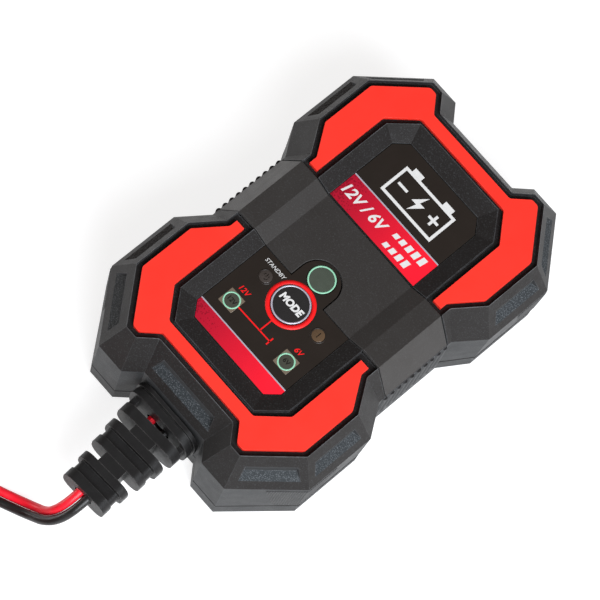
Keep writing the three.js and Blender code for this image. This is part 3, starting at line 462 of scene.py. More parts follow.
def moulded(name, colour, spread=0.8, low=0.35, high=0.55):
    """Any small moulded or coated component."""
    finish = Finish(name, colour, 0.45)
    darker = tuple(spread * channel for channel in colour)
    finish.colour(finish.mix(finish.noise(2.2, 4.0), darker, colour))
    finish.roughness(finish.noise(1.5, 4.0), low, high)
    finish.bump((finish.noise(0.3, 3.0), 0.02))
    return finish.material


def solder_mask():
    """Green board: copper tracks show as raised lighter lines under the mask."""
    finish = Finish("solder_mask", (0.012, 0.16, 0.055), 0.3, Coat_Weight=0.4, Coat_Roughness=0.15)
    tracks = finish.ramp(finish.cells(5.0, "DISTANCE_TO_EDGE"), (0.05, 1.0), (0.09, 0.0))
    finish.colour(finish.mix(tracks, (0.010, 0.12, 0.045), (0.02, 0.26, 0.09)))
    finish.roughness(finish.noise(3.0), 0.22, 0.4)
    finish.bump((tracks, 0.05))
    return finish.material


def wound_copper():
    """Enamelled wire wound round the ring: fine ridges across it."""
    finish = Finish("wound_copper", (0.55, 0.20, 0.07), 0.3, Metallic=0.9)
    wave = finish.add("ShaderNodeTexWave", bands_direction="DIAGONAL")
    wave.inputs["Scale"].default_value = 420
    wave.inputs["Distortion"].default_value = 1.5
    finish.link(finish.place, wave.inputs["Vector"])
    finish.colour(finish.mix(wave.outputs["Fac"], (0.25, 0.08, 0.03), (0.66, 0.27, 0.10)))
    finish.roughness(finish.noise(1.0), 0.2, 0.4)
    finish.bump((wave.outputs["Fac"], 0.2))
    return finish.material


def wound_tape():
    """Yellow insulating tape in overlapping turns round the transformer."""
    finish = Finish("wound_tape", (0.75, 0.55, 0.06), 0.4, Coat_Weight=0.3, Coat_Roughness=0.2)
    wave = finish.add("ShaderNodeTexWave", bands_direction="Z", wave_profile="SAW")
    wave.inputs["Scale"].default_value = 90
    finish.link(finish.place, wave.inputs["Vector"])
    finish.colour(finish.mix(wave.outputs["Fac"], (0.55, 0.38, 0.03), (0.80, 0.60, 0.08)))
    finish.roughness(finish.noise(2.0), 0.3, 0.5)
    finish.bump((wave.outputs["Fac"], 0.1))
    return finish.material


def woven_strap():
    """Black hook-and-loop strap: a fine looped pile."""
    finish = Finish("woven_strap", (0.012, 0.012, 0.013), 0.9, Sheen_Weight=0.4, Sheen_Roughness=0.5)
    loops = finish.cells(0.45)
    finish.colour(finish.mix(loops, (0.030, 0.030, 0.032), (0.008, 0.008, 0.009)))
    finish.roughness(finish.noise(0.6), 0.75, 0.95)
    finish.bump((loops, 0.2))
    return finish.material


def floor_paint():
    """A pale table, faintly lit from below so that shadows on it stay light."""
    finish = Finish(
        "floor_paint", (0.42, 0.42, 0.42), 0.7, Emission_Color=(1, 1, 1, 1), Emission_Strength=0.78,
    )
    finish.colour(finish.mix(finish.noise(60.0), (0.40, 0.40, 0.405), (0.44, 0.44, 0.435)))
    return finish.material


# ---------- mesh helpers ----------


def give(name, material):
    """Gives a CAD node its material."""
    data = NODES[name].data
    data.materials.clear()
    data.materials.append(material)


def soften(name, width, angle=11, segments=2):
    """Rounds a CAD node's edges: its points are welded and bevelled, and its flats stay flat."""
    piece = NODES[name]
    weld = piece.modifiers.new("weld", "WELD")
    weld.merge_threshold = 0.01 * MM
    bevel = piece.modifiers.new("bevel", "BEVEL")
    bevel.width = width * MM
    bevel.segments = segments
    bevel.limit_method = "ANGLE"
    bevel.angle_limit = math.radians(angle)
    flats = piece.modifiers.new("flats", "WEIGHTED_NORMAL")
    flats.weight = 100
    shade_smooth(piece)


def smooth(name):
    """Shades a round CAD node smoothly, and only just breaks its sharp rims."""
    soften(name, 0.05, angle=35, segments=1)


def shade_smooth(piece):
    for polygon in piece.data.polygons:
        polygon.use_smooth = True


def piece_from(name, mesh, material, body="case"):
    """Makes an object of a bmesh in millimetres, and lets it ride on a CAD body."""
    bmesh.ops.recalc_face_normals(mesh, faces=mesh.faces)
    bmesh.ops.scale(mesh, vec=(MM, MM, MM), verts=mesh.verts)
    data = bpy.data.meshes.new(name)
    mesh.to_mesh(data)
    mesh.free()
    data.materials.append(material)
    piece = bpy.data.objects.new(name, data)
    bpy.context.scene.collection.objects.link(piece)
    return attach(piece, body)


def join_rows(mesh, here, there):
    """Joins two closed rows of points with a band of faces."""
    for k in range(len(here)):
        m = (k + 1) % len(here)
        mesh.faces.new((here[k], there[k], there[m], here[m]))


def extrude_outline(mesh, outline, low, high, inset):
    """Adds a flat slab with that outline; inset draws its top edge in, as printed ink or a lip has."""
    bottom = [mesh.verts.new((x, y, low)) for x, y in outline]
    centre = sum((Vector(point) for point in outline), Vector((0, 0))) / len(outline)
    top = []
    for x, y in outline:
        inward = centre - Vector((x, y))
        inward = inward.normalized() * min(inset, inward.length / 2)
        top.append(mesh.verts.new((x + inward.x, y + inward.y, high)))
    mesh.faces.new(reversed(bottom))
    mesh.faces.new(top)
    join_rows(mesh, bottom, top)


def slab(name, outlines, low, high, material, inset=0.01):
    """One piece made of flat slabs, such as a sign or a row of marks."""
    mesh = bmesh.new()
    for outline in outlines:
        extrude_outline(mesh, outline, low, high, inset)
    return piece_from(name, mesh, material)


def circle(mesh, centre, radius, z, sides):
    """A row of new points round a circle."""
    angles = [2 * math.pi * i / sides for i in range(sides)]
    return [
        mesh.verts.new((centre[0] + radius * math.cos(angle), centre[1] + radius * math.sin(angle), z))
        for angle in angles
    ]


def ring(name, centre, inner, outer, low, high, material, body="case"):
    """A flat ring with a slightly crowned top."""
    mesh = bmesh.new()
    crown = high - min(0.04, (high - low) * 0.4)
    section = [(inner, low), (inner, crown), ((inner + outer) / 2, high), (outer, crown), (outer, low)]
    rows = [circle(mesh, centre, radius, z, RING_SIDES) for radius, z in section]
    for here, there in zip(rows, rows[1:] + rows[:1]):
        join_rows(mesh, here, there)
    shade_smooth(piece_from(name, mesh, material, body))


def disc(name, centre, radius, low, high, material):
    """A small round plate with a bevelled edge."""
    mesh = bmesh.new()
    section = [(radius, low), (radius, high - 0.03), (radius - 0.04, high)]
    rows = [circle(mesh, centre, reach, z, DISC_SIDES) for reach, z in section]
    for here, there in zip(rows, rows[1:]):
        join_rows(mesh, here, there)
    mesh.faces.new(reversed(rows[0]))
    mesh.faces.new(rows[-1])
    return piece_from(name, mesh, material)


def rectangle(x0, x1, y0, y1):
    """The outline of an upright rectangle."""
    return [(x0, y0), (x1, y0), (x1, y1), (x0, y1)]


def stroke(start, end, width):
    """The outline of a straight line of that width."""
    along = (Vector(end) - Vector(start)).normalized() * width / 2
    side = Vector((-along.y, along.x))
    a, b = Vector(start) - along, Vector(end) + along
    return [tuple(a - side), tuple(b - side), tuple(b + side), tuple(a + side)]


def words(name, text, at, size, material, body="case", weight=0.0, slant=0.0, across=1.0):
    """Lettering as thin raised ink; at is the middle of the word on the face."""
    data = bpy.data.curves.new(name, "FONT")
    data.body = text
    data.size = size * MM
    data.align_x = "CENTER"
    data.align_y = "CENTER"
    data.offset = weight * MM
    data.shear = slant
    data.extrude = INK_THICK * MM / 2
    data.resolution_u = 4
    shaped = bpy.data.objects.new(name + "_shape", data)
    solid = bpy.data.meshes.new_from_object(shaped)
    bpy.data.objects.remove(shaped)
    bpy.data.curves.remove(data)
    solid.transform(Matrix.Translation(Vector(at) * MM) @ Matrix.Diagonal((across, 1, 1, 1)))
    solid.name = name
    solid.materials.append(material)
    piece = bpy.data.objects.new(name, solid)
    bpy.context.scene.collection.objects.link(piece)
    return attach(piece, body)


# ---------- the lead ----------

# The middle of the pair: inside the strain relief, at its end, over the edge and down to the floor.
INSIDE_RELIEF = (1.35, -71.9, 14.4)
RELIEF_END = (1.53, -74.9, 14.4)
FREE_ROUTE = [
    (1.6, -76.85, 14.05), (1.45, -79.55, 12.85), (0.9, -81.8, 10.95), (-0.2, -83.45, 8.6),
    (-1.8, -84.4, 6.2), (-3.9, -84.95, 4.0), (-6.35, -85.7, 2.35), (-9.05, -86.7, 1.4),
    (-11.8, -87.9, 1.17), (-14.6, -89.1, 1.17),
]
# From the coil's top layer, round on top of it and into the connector.
TAIL_ROUTE = [
    (-39.6, -101.2, 9.9), (-43.3, -106.0, 10.5), (-45.6, -111.5, 10.8), (-46.4, -117.4, 10.8),
    (-46.4, -123.0, 10.8), (-45.2, -128.2, 10.9), (-42.4, -132.8, 11.5), (-38.4, -135.9, 12.7),
    (-33.6, -137.0, 13.4), (-31.6, -137.1, 13.4),
]
POINTS_PER_STRETCH = 6
STRAIGHT_STEPS = 12
TURNS = COIL_LEVELS * TURNS_PER_LEVEL
POINTS_PER_TURN = 36
RAMP_TURNS = 0.12                    # half the length of a climb to the next level
TIE_HUMP_REACH = 0.5                 # how far the wires rise on each side of the tie, in radians
ROLL_LIFT = 0.45                     # keeps the lower wire off the floor as the pair rolls over


def smooth_between(points, coming_from):
    """Points along a Catmull-Rom curve through all the given ones, coming from another point."""
    line = []
    ends = [coming_from, *points, points[-1] * 2 - points[-2]]
    for before, a, b, after in zip(ends, ends[1:], ends[2:], ends[3:]):
        for k in range(POINTS_PER_STRETCH):
            t = k / POINTS_PER_STRETCH
            line.append(0.5 * (
                2 * a + (b - before) * t
                + (2 * before - 5 * a + 4 * b - after) * t * t
                + (3 * a - before - 3 * b + after) * t * t * t
            ))
    line.append(points[-1])
    return line


def eased(t):
    """A smooth step from 0 at t = 0 to 1 at t = 1."""
    t = max(0.0, min(1.0, t))
    return t * t * (3 - 2 * t)


def passed(turn, level):
    """Goes smoothly from 0 to 1 as the turns reach the end of that level."""
    return eased((turn - level * TURNS_PER_LEVEL) / (2 * RAMP_TURNS) + 0.5)


def coil_roll(turn):
    """The pair rolls over as it leaves each inner lane, so that both wires come out the same length."""
    return math.pi * sum(passed(turn, level) for level in range(1, COIL_LEVELS, 2))


def coil_point(turn):
    """The middle of the wire pair after that many turns, from the outer lane on the floor."""
    spiral = (turn / TURNS_PER_LEVEL) % 2
    lanes_in = TURNS_PER_LEVEL * (spiral if spiral <= 1 else 2 - spiral)
    radius = COIL_OUTER_LANE - LANE_PITCH * lanes_in
    angle = COIL_ENTRY + 2 * math.pi * turn
    climbed = sum(passed(turn, level) for level in range(1, COIL_LEVELS + 1))
    off_tie = (angle - TIE_ANGLE + math.pi) % (2 * math.pi) - math.pi
    hump = TIE_THICK * (1 - eased(abs(off_tie) / TIE_HUMP_REACH))
    lift = ROLL_LIFT * math.sin(coil_roll(turn)) ** 2
    return Vector((
        COIL_AT[0] + radius * math.cos(angle),
        COIL_AT[1] + radius * math.sin(angle),
        COIL_FLOOR + WIRE_D / 2 + LEVEL_PITCH * climbed + hump + lift,
    ))


def lead_route():
    """The middle of the wire pair from the strain relief to the connector, and its roll at each point."""
    free_points = [Vector(point) for point in (RELIEF_END, *FREE_ROUTE)]
    free = smooth_between(free_points, Vector(INSIDE_RELIEF))
    entry = coil_point(0)
    straight = [free[-1].lerp(entry, k / STRAIGHT_STEPS) for k in range(1, STRAIGHT_STEPS)]
    turns = [k / POINTS_PER_TURN for k in range(int(TURNS * POINTS_PER_TURN) + 1)]
    coil = [coil_point(turn) for turn in turns]
    tail = smooth_between([coil[-1], *(Vector(point) for point in TAIL_ROUTE)], coil[-2])[1:]
    flat_before = [0.0] * (len(free) + len(straight))
    rolls = flat_before + [coil_roll(turn) for turn in turns] + [0.0] * len(tail)
    return free + straight + coil + tail, rolls


def beside(line, rolls, shift):
    """One wire's own line: the pair's middle moved sideways, or up where the pair rolls over."""
    moved = []
    for i, (point, roll) in enumerate(zip(line, rolls)):
        run = line[min(i + 1, len(line) - 1)] - line[max(i - 1, 0)]
        flat = math.hypot(run.x, run.y)
        aside = shift * math.cos(roll)
        moved.append(point + Vector((-aside * run.y / flat, aside * run.x / flat, shift * math.sin(roll))))
    return moved


def wire_curve(name, line, material):
    """A round wire along a row of points in millimetres."""
    data = bpy.data.curves.new(name, "CURVE")
    data.dimensions = "3D"
    data.bevel_depth = WIRE_D / 2 * MM
    data.bevel_resolution = 4
    data.use_fill_caps = True
    spline = data.splines.new("POLY")
    spline.points.add(len(line) - 1)
    for control, point in zip(spline.points, line):
        control.co = (*(point * MM), 1)
    spline.use_smooth = True
    data.materials.append(material)
    wire = bpy.data.objects.new(name, data)
    bpy.context.scene.collection.objects.link(wire)
    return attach(wire, "case")


def add_lead(red, black):
    """Both wires, in place of the CAD's plain lead and coil."""
    middle, rolls = lead_route()
    for name, slot, side, material, gone in (
        ("wire_red", "red_wire", -1, red, ["lead_red", "tail_red"]),
        ("wire_black", "black_wire", 1, black, ["lead_black", "tail_black", "lead_coil"]),
    ):
        line = beside(middle, rolls, side * WIRE_APART / 2)
        wire = wire_curve(name, line, material)
        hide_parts(*gone)


# ---------- floor and light ----------

FLOOR_HALF_SIZE = 3                  # metres
FLOOR_DROP = 0.02


def add_floor():
    """A plain table top, just under the charger's back."""
    mesh = bmesh.new()
    bmesh.ops.create_grid(mesh, x_segments=1, y_segments=1, size=FLOOR_HALF_SIZE)
    data = bpy.data.meshes.new("floor")
    mesh.to_mesh(data)
    mesh.free()
    data.materials.append(floor_paint())
    floor = bpy.data.objects.new("floor", data)
    floor.location.z = -FLOOR_DROP * MM
    bpy.context.scene.collection.objects.link(floor)


def add_panel(name, at, size, watts, colour):
    """A square studio light that faces the charger; at is in metres."""
    data = bpy.data.lights.new(name, "AREA")
    data.size = size
    data.energy = watts
    data.color = colour
    panel = bpy.data.objects.new(name, data)
    panel.location = at
    panel.rotation_mode = "QUATERNION"
    panel.rotation_quaternion = Vector(at).to_track_quat("Z", "Y")
    bpy.context.scene.collection.objects.link(panel)


def add_light():
    """A big cool light past the lead's right, a low one on its left, and a dim warm room."""
    world = bpy.data.worlds.new("studio")
    bpy.context.scene.world = world
    world.use_nodes = True
    background = world.node_tree.nodes["Background"]
    background.inputs["Color"].default_value = (1.0, 0.90, 0.85, 1)
    background.inputs["Strength"].default_value = 0.24
    add_panel("key", (0.72, -0.32, 0.71), 0.75, 17.5, (0.95, 1.0, 1.06))
    add_panel("low_fill", (-0.90, -0.42, 0.10), 0.4, 4, (1.0, 1.0, 1.0))


# ---------- the case and its trim ----------


def dress_case(film):
    """The case's halves and gasket, the inlays, the band and the label films."""
    rubber = rubbed_rubber_with_painted_light()
    for name in ("front_shell", "rear_cover"):
        give(name, rubber)
        soften(name, 0.22)
    give("case_gasket", moulded("gasket_foam", (0.010, 0.010, 0.010), 0.6, 0.7, 0.9))
    red = red_plastic()
    for name in ("red_inlay_upper", "red_inlay_lower"):
        give(name, red)
        soften(name, 0.15)
    give("saddle_band", saddle_plastic())
    soften("saddle_band", 0.16, angle=12)
    for name in ("upper_label", "lower_label"):
        give(name, film)
        soften(name, 0.08)


# ---------- grip pads ----------

FACET_SHARE = 0.5                    # the pads reach half way along the corner facet
PAD_SIDE_Y = 29.0                    # and end here on the side wall
PAD_LOW_Z, PAD_HIGH_Z = 8.2, 20.8
PAD_END_HIGH = 1.0                   # a pad's height at its two ends
PAD_SLANT = 3.5                      # how far in from each end its lower edge slopes
PAD_DEPTH, PAD_EDGE = 0.25, 0.3      # how far it reaches into the wall, and how far its edges round off
RIB_PITCH, RIB_PROUD, GROOVE_PROUD = 0.6, 0.24, 0.10

# The corner facet's two ends on the wall, at its foot and at the crease.
FOOT_Z = 7.0
FOOT_CORNER, FOOT_FAR = (33.9, 37.83), (21.83, 52.75)
CREASE_CORNER, CREASE_FAR = (34.35, 37.76), (21.74, 52.55)


def wall_point(reach, z):
    """A point of the wall and its outward direction; reach runs from the corner: + along the facet."""
    share = (z - FOOT_Z) / (CREASE_Z - FOOT_Z)
    corner = Vector(FOOT_CORNER).lerp(Vector(CREASE_CORNER), share)
    far = Vector(FOOT_FAR).lerp(Vector(CREASE_FAR), share)
    along = (far - corner).normalized()
    out = Vector((along.y, -along.x))
    if reach > 0:
        return corner + along * reach, out
    if reach < 0:
        return corner + Vector((0, reach)), Vector((1, 0))
    return corner, (out + Vector((1, 0))).normalized()


def pad_section(low, proud):
    """An upright cut through a pad: each point is (height, distance out of the wall)."""
    return [
        (low, -PAD_DEPTH), (low, proud / 2), (low + PAD_EDGE, proud),
        (PAD_HIGH_Z - PAD_EDGE, proud), (PAD_HIGH_Z, proud / 2), (PAD_HIGH_Z, -PAD_DEPTH),
    ]


def grip_pad(name, side_x, side_y, material):
    """A ribbed pad wrapped round one upright corner of the case."""
    facet = (Vector(FOOT_FAR) - Vector(FOOT_CORNER)).length * FACET_SHARE
    side = FOOT_CORNER[1] - PAD_SIDE_Y
    steps = int((facet + side) / (RIB_PITCH / 2))
    mesh = bmesh.new()
    columns = []
    for i in range(steps + 1):
        reach = facet - (facet + side) * i / steps
        if abs(reach) < RIB_PITCH / 4:
            reach = 0
        from_end = min(facet - reach, reach + side)
        slope = max(0.0, 1 - from_end / PAD_SLANT)
        low = PAD_LOW_Z + (PAD_HIGH_Z - PAD_LOW_Z - PAD_END_HIGH) * slope
        column = []
        for z, out in pad_section(low, RIB_PROUD if i % 2 else GROOVE_PROUD):
            point, outward = wall_point(reach, z)
            at = point + outward * out
            column.append(mesh.verts.new((side_x * at.x, side_y * at.y, z)))
        columns.append(column)
    for here, there in zip(columns, columns[1:]):
        join_rows(mesh, here, there)
    mesh.faces.new(reversed(columns[0]))
    mesh.faces.new(columns[-1])
    piece_from(name, mesh, material)


def add_grips():
    """A pad on each of the four upright corners."""
    material = grip_rubber()
    for side_x, across in ((-1, "left"), (1, "right")):
        for side_y, end in ((-1, "lower"), (1, "upper")):
            grip_pad(f"grip_{end}_{across}", side_x, side_y, material)


# ---------- print on the labels ----------

BAR_STEP, BAR_WIDTH, BAR_LEAN = 2.1, 1.4, 0.35
FIRST_BAR_HIGH, BAR_GROWTH = 1.3, 0.25
TRACE_WIDTH = 0.34


def clipped_panel(y0, y1):
    """The part of the label panel between two heights, as an outline."""
    (side_x, corner_y), (end_x, end_y) = LABEL_CORNERS

    def half_width(y):
        if abs(y) <= corner_y:
            return side_x
        return side_x + (end_x - side_x) * (abs(y) - corner_y) / (end_y - corner_y)

    heights = sorted({y0, y1, *(y for y in (corner_y, -corner_y) if y0 < y < y1)})
    right = [(half_width(y), y) for y in heights]
    return right + [(-x, y) for x, y in reversed(right)]


def battery_sign(name, middle, width, height, material):
    """A plain car battery with two posts, a minus, a plus and a spark between them."""
    x, y = middle
    w, h = width / 2, height / 2
    line = 0.75
    pole = w * 0.62                  # from the middle to the posts, the minus and the plus
    post_half, post_high = 1.5, 1.3
    arm, arm_half_thick = 1.2, 0.35
    outlines = [
        rectangle(x - w, x + w, y - h, y - h + line),
        rectangle(x - w, x + w, y + h - line, y + h),
        rectangle(x - w, x - w + line, y - h + line, y + h - line),
        rectangle(x + w - line, x + w, y - h + line, y + h - line),
    ]
    for side in (-1, 1):
        post = x + side * pole
        outlines.append(rectangle(post - post_half, post + post_half, y + h, y + h + post_high))
        outlines.append(stroke((post - arm, y), (post + arm, y), 2 * arm_half_thick))
    arm_from, arm_to = arm_half_thick + 0.01, arm_half_thick + arm
    for low, high in ((arm_from, arm_to), (-arm_to, -arm_from)):
        outlines.append(rectangle(x + pole - arm_half_thick, x + pole + arm_half_thick, y + low, y + high))
    slab(name, outlines, INK_LOW, INK_HIGH + 0.01, material)
    half_spark = [(0.9, 3.0), (-1.8, -0.45), (-0.2, -0.45)]
    spark = [(x + turn * dx, y + turn * dy) for turn in (1, -1) for dx, dy in half_spark]
    slab(name + "_spark", [spark], INK_LOW, INK_HIGH + 0.01, material, inset=0.0)


def charge_bars(name, start_x, foot, count, material):
    """A row of slanted bars that grow to the right, as on a charge gauge."""
    outlines = []
    for i in range(count):
        x = start_x + BAR_STEP * i
        top = foot + FIRST_BAR_HIGH + BAR_GROWTH * i
        outlines.append([
            (x, foot), (x + BAR_WIDTH, foot), (x + BAR_WIDTH + BAR_LEAN, top), (x + BAR_LEAN, top),
        ])
    slab(name, outlines, INK_LOW, INK_HIGH + 0.01, material)


def print_upper_label(white, silver):
    """A battery sign over a crimson band with the two voltages and charge bars."""
    band_low, band_high = SADDLE_HIGH_Y + 0.2, 18.4
    crimson = crimson_print("crimson_upper", -3.0, -14.4)
    slab("band_upper", [clipped_panel(band_low, band_high)], INK_LOW, INK_HIGH, crimson)
    slab("line_upper", [clipped_panel(band_high, band_high + 0.35)], INK_LOW, INK_HIGH + 0.01, silver)
    battery_sign("battery_sign", (0.4, 25.0), 17.0, 8.6, white)
    words("volts_upper", "12V / 6V", (-7.4, 14.5, INK_HIGH), 3.9, white, weight=0.10, slant=0.25)
    charge_bars("charge_bars_1", 2.2, 15.0, 5, white)
    charge_bars("charge_bars_2", 2.2, 11.7, 4, white)


def print_lower_label(white, red, silver):
    """A crimson band, the windows' words and the red lines that join them."""
    band_low, band_high = -33.4, -29.2
    crimson = crimson_print("crimson_lower", 0.0, -16.0)
    slab("band_lower", [clipped_panel(band_low, band_high)], INK_LOW, INK_HIGH, crimson)
    slab("line_lower", [clipped_panel(band_high, band_high + 0.32)], INK_LOW, INK_HIGH + 0.01, silver)
    traces = [
        stroke((-7.0, -24.2), (3.4, -24.05), TRACE_WIDTH),
        stroke((3.4, -23.1), (3.4, -25.0), TRACE_WIDTH),
        stroke((0.0, -20.5), (0.0, -23.9), TRACE_WIDTH),
    ]
    slab("red_traces", traces, INK_LOW, INK_HIGH, red)
    words("volts_12", "12V", (-WINDOW_X, -20.6, INK_HIGH), 1.9, red, weight=0.03, slant=0.2)
    words("volts_6", "6V", (WINDOW_X, -20.6, INK_HIGH), 1.9, red, weight=0.03, slant=0.2)
    words("standby_word", "STANDBY", (-8.8, -11.5, INK_HIGH), 1.42, white, slant=0.2)


# ---------- button, windows and lamps ----------


def dress_button(white, red, silver):
    """The cap with its word and silver edge, inside a red ring on the label."""
    give("mode_button", satin_black("button_black", (0.008, 0.0072, 0.0072)))
    soften("mode_button", 0.12)
    top = LABEL_Z + BUTTON_PROUD
    edge = BUTTON_R - 0.02
    ring("button_red_ring", BUTTON_AT, BUTTON_R + 0.16, BUTTON_RING_R, INK_LOW, LABEL_Z + 0.10, red)
    ring("button_silver_ring", BUTTON_AT, edge - 0.40, edge, top - 0.32, top + 0.06, silver, "button")
    at = (*BUTTON_AT, top)
    words("mode_word", "MODE", at, 2.5, white, "button", weight=0.12, slant=0.12, across=0.94)


def frame_film(name, centre, inner, outer, material):
    """The label film's edge lapping over the gap round a square window."""
    x, y = centre
    strips = [
        rectangle(x - outer, x + outer, y + inner, y + outer),
        rectangle(x - outer, x + outer, y - outer, y - inner),
        rectangle(x - outer, x - inner, y - inner, y + inner),
        rectangle(x + inner, x + outer, y - inner, y + inner),
    ]
    slab(name, strips, INK_LOW, LABEL_Z + 0.02, material, inset=0.0)


def standby_sign(centre, material):
    """The usual stand-by mark: an open ring with a short bar in its gap."""
    x, y = centre
    inner, outer = 0.62, 0.84
    gap_end, open_ring = 125, 290    # degrees
    steps = 14

    def point(radius, step):
        angle = math.radians(gap_end + open_ring * step / steps)
        return (x + radius * math.cos(angle), y + radius * math.sin(angle))

    outlines = [stroke((x, y), (x, y + 0.8), 0.22)]
    for i in range(steps):
        outlines.append([point(inner, i), point(outer, i), point(outer, i + 1), point(inner, i + 1)])
    slab("standby_sign", outlines, LABEL_Z, LABEL_Z + 0.05, material, inset=0.0)


def fault_sign(centre, material):
    """An exclamation mark."""
    x, y = centre
    marks = [stroke((x, y - 0.1), (x, y + 0.75), 0.24), stroke((x, y - 0.6), (x, y - 0.4), 0.24)]
    slab("fault_sign", marks, LABEL_Z, LABEL_Z + 0.05, material)


def dress_status(mint):
    """The large round window and its green ring."""
    give("status_lens", lamp_window("status_window", (0.052, 0.064, 0.049)))
    soften("status_lens", 0.15)
    ring("status_ring", STATUS_AT, STATUS_R - 0.30, STATUS_R + 0.10, LABEL_Z + 0.01, LABEL_Z + 0.16, mint)


def dress_volts(mint, faint, film):
    """The two square windows, each with a green ring round a grey glass and its voltage on it."""
    tan = lamp_window("tan_window", (0.145, 0.112, 0.080))
    glass = lamp_window("charge_glass", (0.046, 0.048, 0.036))
    foot, glass_top = LABEL_Z - 0.1, LABEL_Z + 0.06
    for name, x, mark in (("12v", -WINDOW_X, "12V"), ("6v", WINDOW_X, "6V")):
        centre = (x, WINDOW_Y)
        give("lens_" + name, tan)
        soften("lens_" + name, 0.12)
        frame_film("frame_" + name, centre, WINDOW_HALF - 0.08, WINDOW_HALF + 0.4, film)
        disc("glass_" + name, centre, 1.78, foot, glass_top, glass)
        ring("ring_" + name, centre, 1.76, 2.14, foot, LABEL_Z + 0.13, mint)
        words("mark_" + name, mark, (*centre, glass_top), 1.6, faint, weight=0.04)


def dress_dots(rim, faint, film):
    """The two small round windows with their signs."""
    for name, centre, colour in (
        ("lens_standby", STANDBY_AT, (0.040, 0.032, 0.028)),
        ("lens_fault", FAULT_AT, (0.085, 0.050, 0.026)),
    ):
        give(name, lamp_window(name + "_window", colour))
        soften(name, 0.1)
        foot = LABEL_Z - 0.02
        ring(name + "_film", centre, DOT_R - 0.05, DOT_R + 0.35, foot, LABEL_Z + 0.012, film)
        ring(name + "_rim", centre, DOT_R - 0.3, DOT_R - 0.1, foot, LABEL_Z + 0.04, rim)
    standby_sign(STANDBY_AT, rim)
    fault_sign(FAULT_AT, faint)


# ---------- lead fittings, blades and what is inside ----------


def dress_lead():
    """The strain relief with the wires in it, the coil's tie and the connector."""
    give("strain_relief", relief_rubber())
    soften("strain_relief", 0.3, angle=25)
    for name, jacket, slot in (
        ("output_wire_red", RED_JACKET, "red_wire"), ("output_wire_black", BLACK_JACKET, "black_wire"),
    ):
        give(name, wire_jacket(name, jacket))
        smooth(name)
    give("lead_tie", woven_strap())
    smooth("lead_tie")
    give("connector_body", moulded("connector_black", (0.018, 0.018, 0.019), 0.7))
    soften("connector_body", 0.25, angle=25)
    tin = plain_metal("connector_tin", (0.78, 0.76, 0.72), 0.2, 0.4, (1.0, 0.2, 1.0))
    for name in ("connector_pin", "connector_sleeve"):
        give(name, tin)
        soften(name, 0.08)


def dress_blades():
    """The folding plug, its contacts and wires, and the case's screws."""
    give("blade_carrier", moulded("carrier_black", (0.020, 0.020, 0.021), 0.7, 0.38, 0.55))
    soften("blade_carrier", 0.2, angle=25)
    brass = plain_metal("blade_nickel", (0.72, 0.66, 0.50), 0.18, 0.38, (1.0, 0.15, 1.0))
    steel = plain_metal("steel", (0.56, 0.56, 0.57), 0.22, 0.42, (0.2, 1.0, 1.0))
    for side in ("left", "right"):
        give("plug_blade_" + side, brass)
        soften("plug_blade_" + side, 0.15, angle=25)
        give("contact_spring_" + side, brass)
        give("mains_wire_" + side, wire_jacket("mains_" + side, (0.012, 0.012, 0.013)))
        smooth("mains_wire_" + side)
    give("blade_pin", steel)
    smooth("blade_pin")
    for i in range(1, CASE_SCREWS + 1):
        give(f"case_screw_{i}", steel)
        soften(f"case_screw_{i}", 0.06, angle=25)


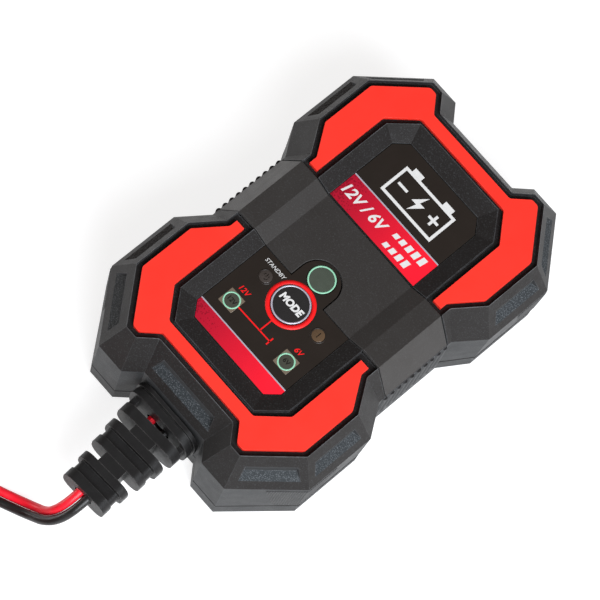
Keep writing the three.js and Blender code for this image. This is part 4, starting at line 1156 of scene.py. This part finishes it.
# Each moulded component: the name and colour of its material, and its slot.
INSIDE = {
    "switch_plunger": ("plunger_ivory", (0.55, 0.52, 0.44), "component_white"),
    "switch_base": ("switch_black", (0.020, 0.020, 0.022), "component_black"),
    "light_baffle": ("baffle_white", (0.70, 0.69, 0.66), "component_white"),
    "mains_capacitor": ("capacitor_black", (0.030, 0.028, 0.045), "component_black"),
    "output_capacitor": ("capacitor_blue", (0.015, 0.035, 0.120), "component_blue"),
    "x_capacitor": ("capacitor_yellow", (0.72, 0.44, 0.04), "component_yellow"),
    "bridge_rectifier": ("rectifier_black", (0.022, 0.022, 0.024), "component_black"),
    "fuse": ("fuse_sand", (0.60, 0.52, 0.40), "fuse_body"),
    "power_transistor": ("transistor_black", (0.018, 0.018, 0.019), "component_black"),
    "control_chip": ("chip_black", (0.016, 0.016, 0.017), "component_black"),
    "transformer_core": ("ferrite_grey", (0.050, 0.047, 0.046), "ferrite"),
    "led_status": ("led_green", (0.18, 0.62, 0.30), "window"),
    "led_12v": ("led_green_12v", (0.18, 0.62, 0.30), "window"),
    "led_6v": ("led_green_6v", (0.18, 0.62, 0.30), "window"),
    "led_standby": ("led_amber", (0.75, 0.45, 0.10), "window"),
    "led_fault": ("led_red", (0.70, 0.06, 0.04), "window"),
}


def dress_inside():
    """Everything on the circuit board, and the board."""
    for name, (finish_name, colour, slot) in INSIDE.items():
        give(name, moulded(finish_name, colour))
        soften(name, 0.12, angle=25)
    give("circuit_board", solder_mask())
    give("transformer_winding", wound_tape())
    soften("transformer_winding", 0.3, angle=25)
    give("choke", wound_copper())
    smooth("choke")
    give("heat_sink", plain_metal("aluminium", (0.70, 0.71, 0.72), 0.3, 0.5, (0.1, 1.0, 1.0)))
    soften("heat_sink", 0.1, angle=25)


# ---------- assembly ----------

bpy.context.scene.view_settings.view_transform = "Standard"
add_camera()
add_lead(wire_jacket("red_wire", RED_JACKET), wire_jacket("black_wire", BLACK_JACKET))
add_floor()
add_light()

white_ink = printed("white_ink", (0.80, 0.79, 0.77))
red_ink = printed("red_ink", (0.95, 0.012, 0.014))
mint_ink = printed("mint_ink", (0.33, 0.69, 0.47))
rim_ink = printed("rim_ink", (0.078, 0.063, 0.054))
faint_ink = printed("faint_ink", (0.013, 0.011, 0.009))
silver_ink = silver_foil()

label_material = label_film()
dress_case(label_material)
add_grips()
print_upper_label(white_ink, silver_ink)
print_lower_label(white_ink, red_ink, silver_ink)
dress_button(white_ink, red_ink, silver_ink)
dress_status(mint_ink)
dress_volts(mint_ink, faint_ink, label_material)
dress_dots(rim_ink, faint_ink, label_material)
dress_lead()
dress_blades()
dress_inside()
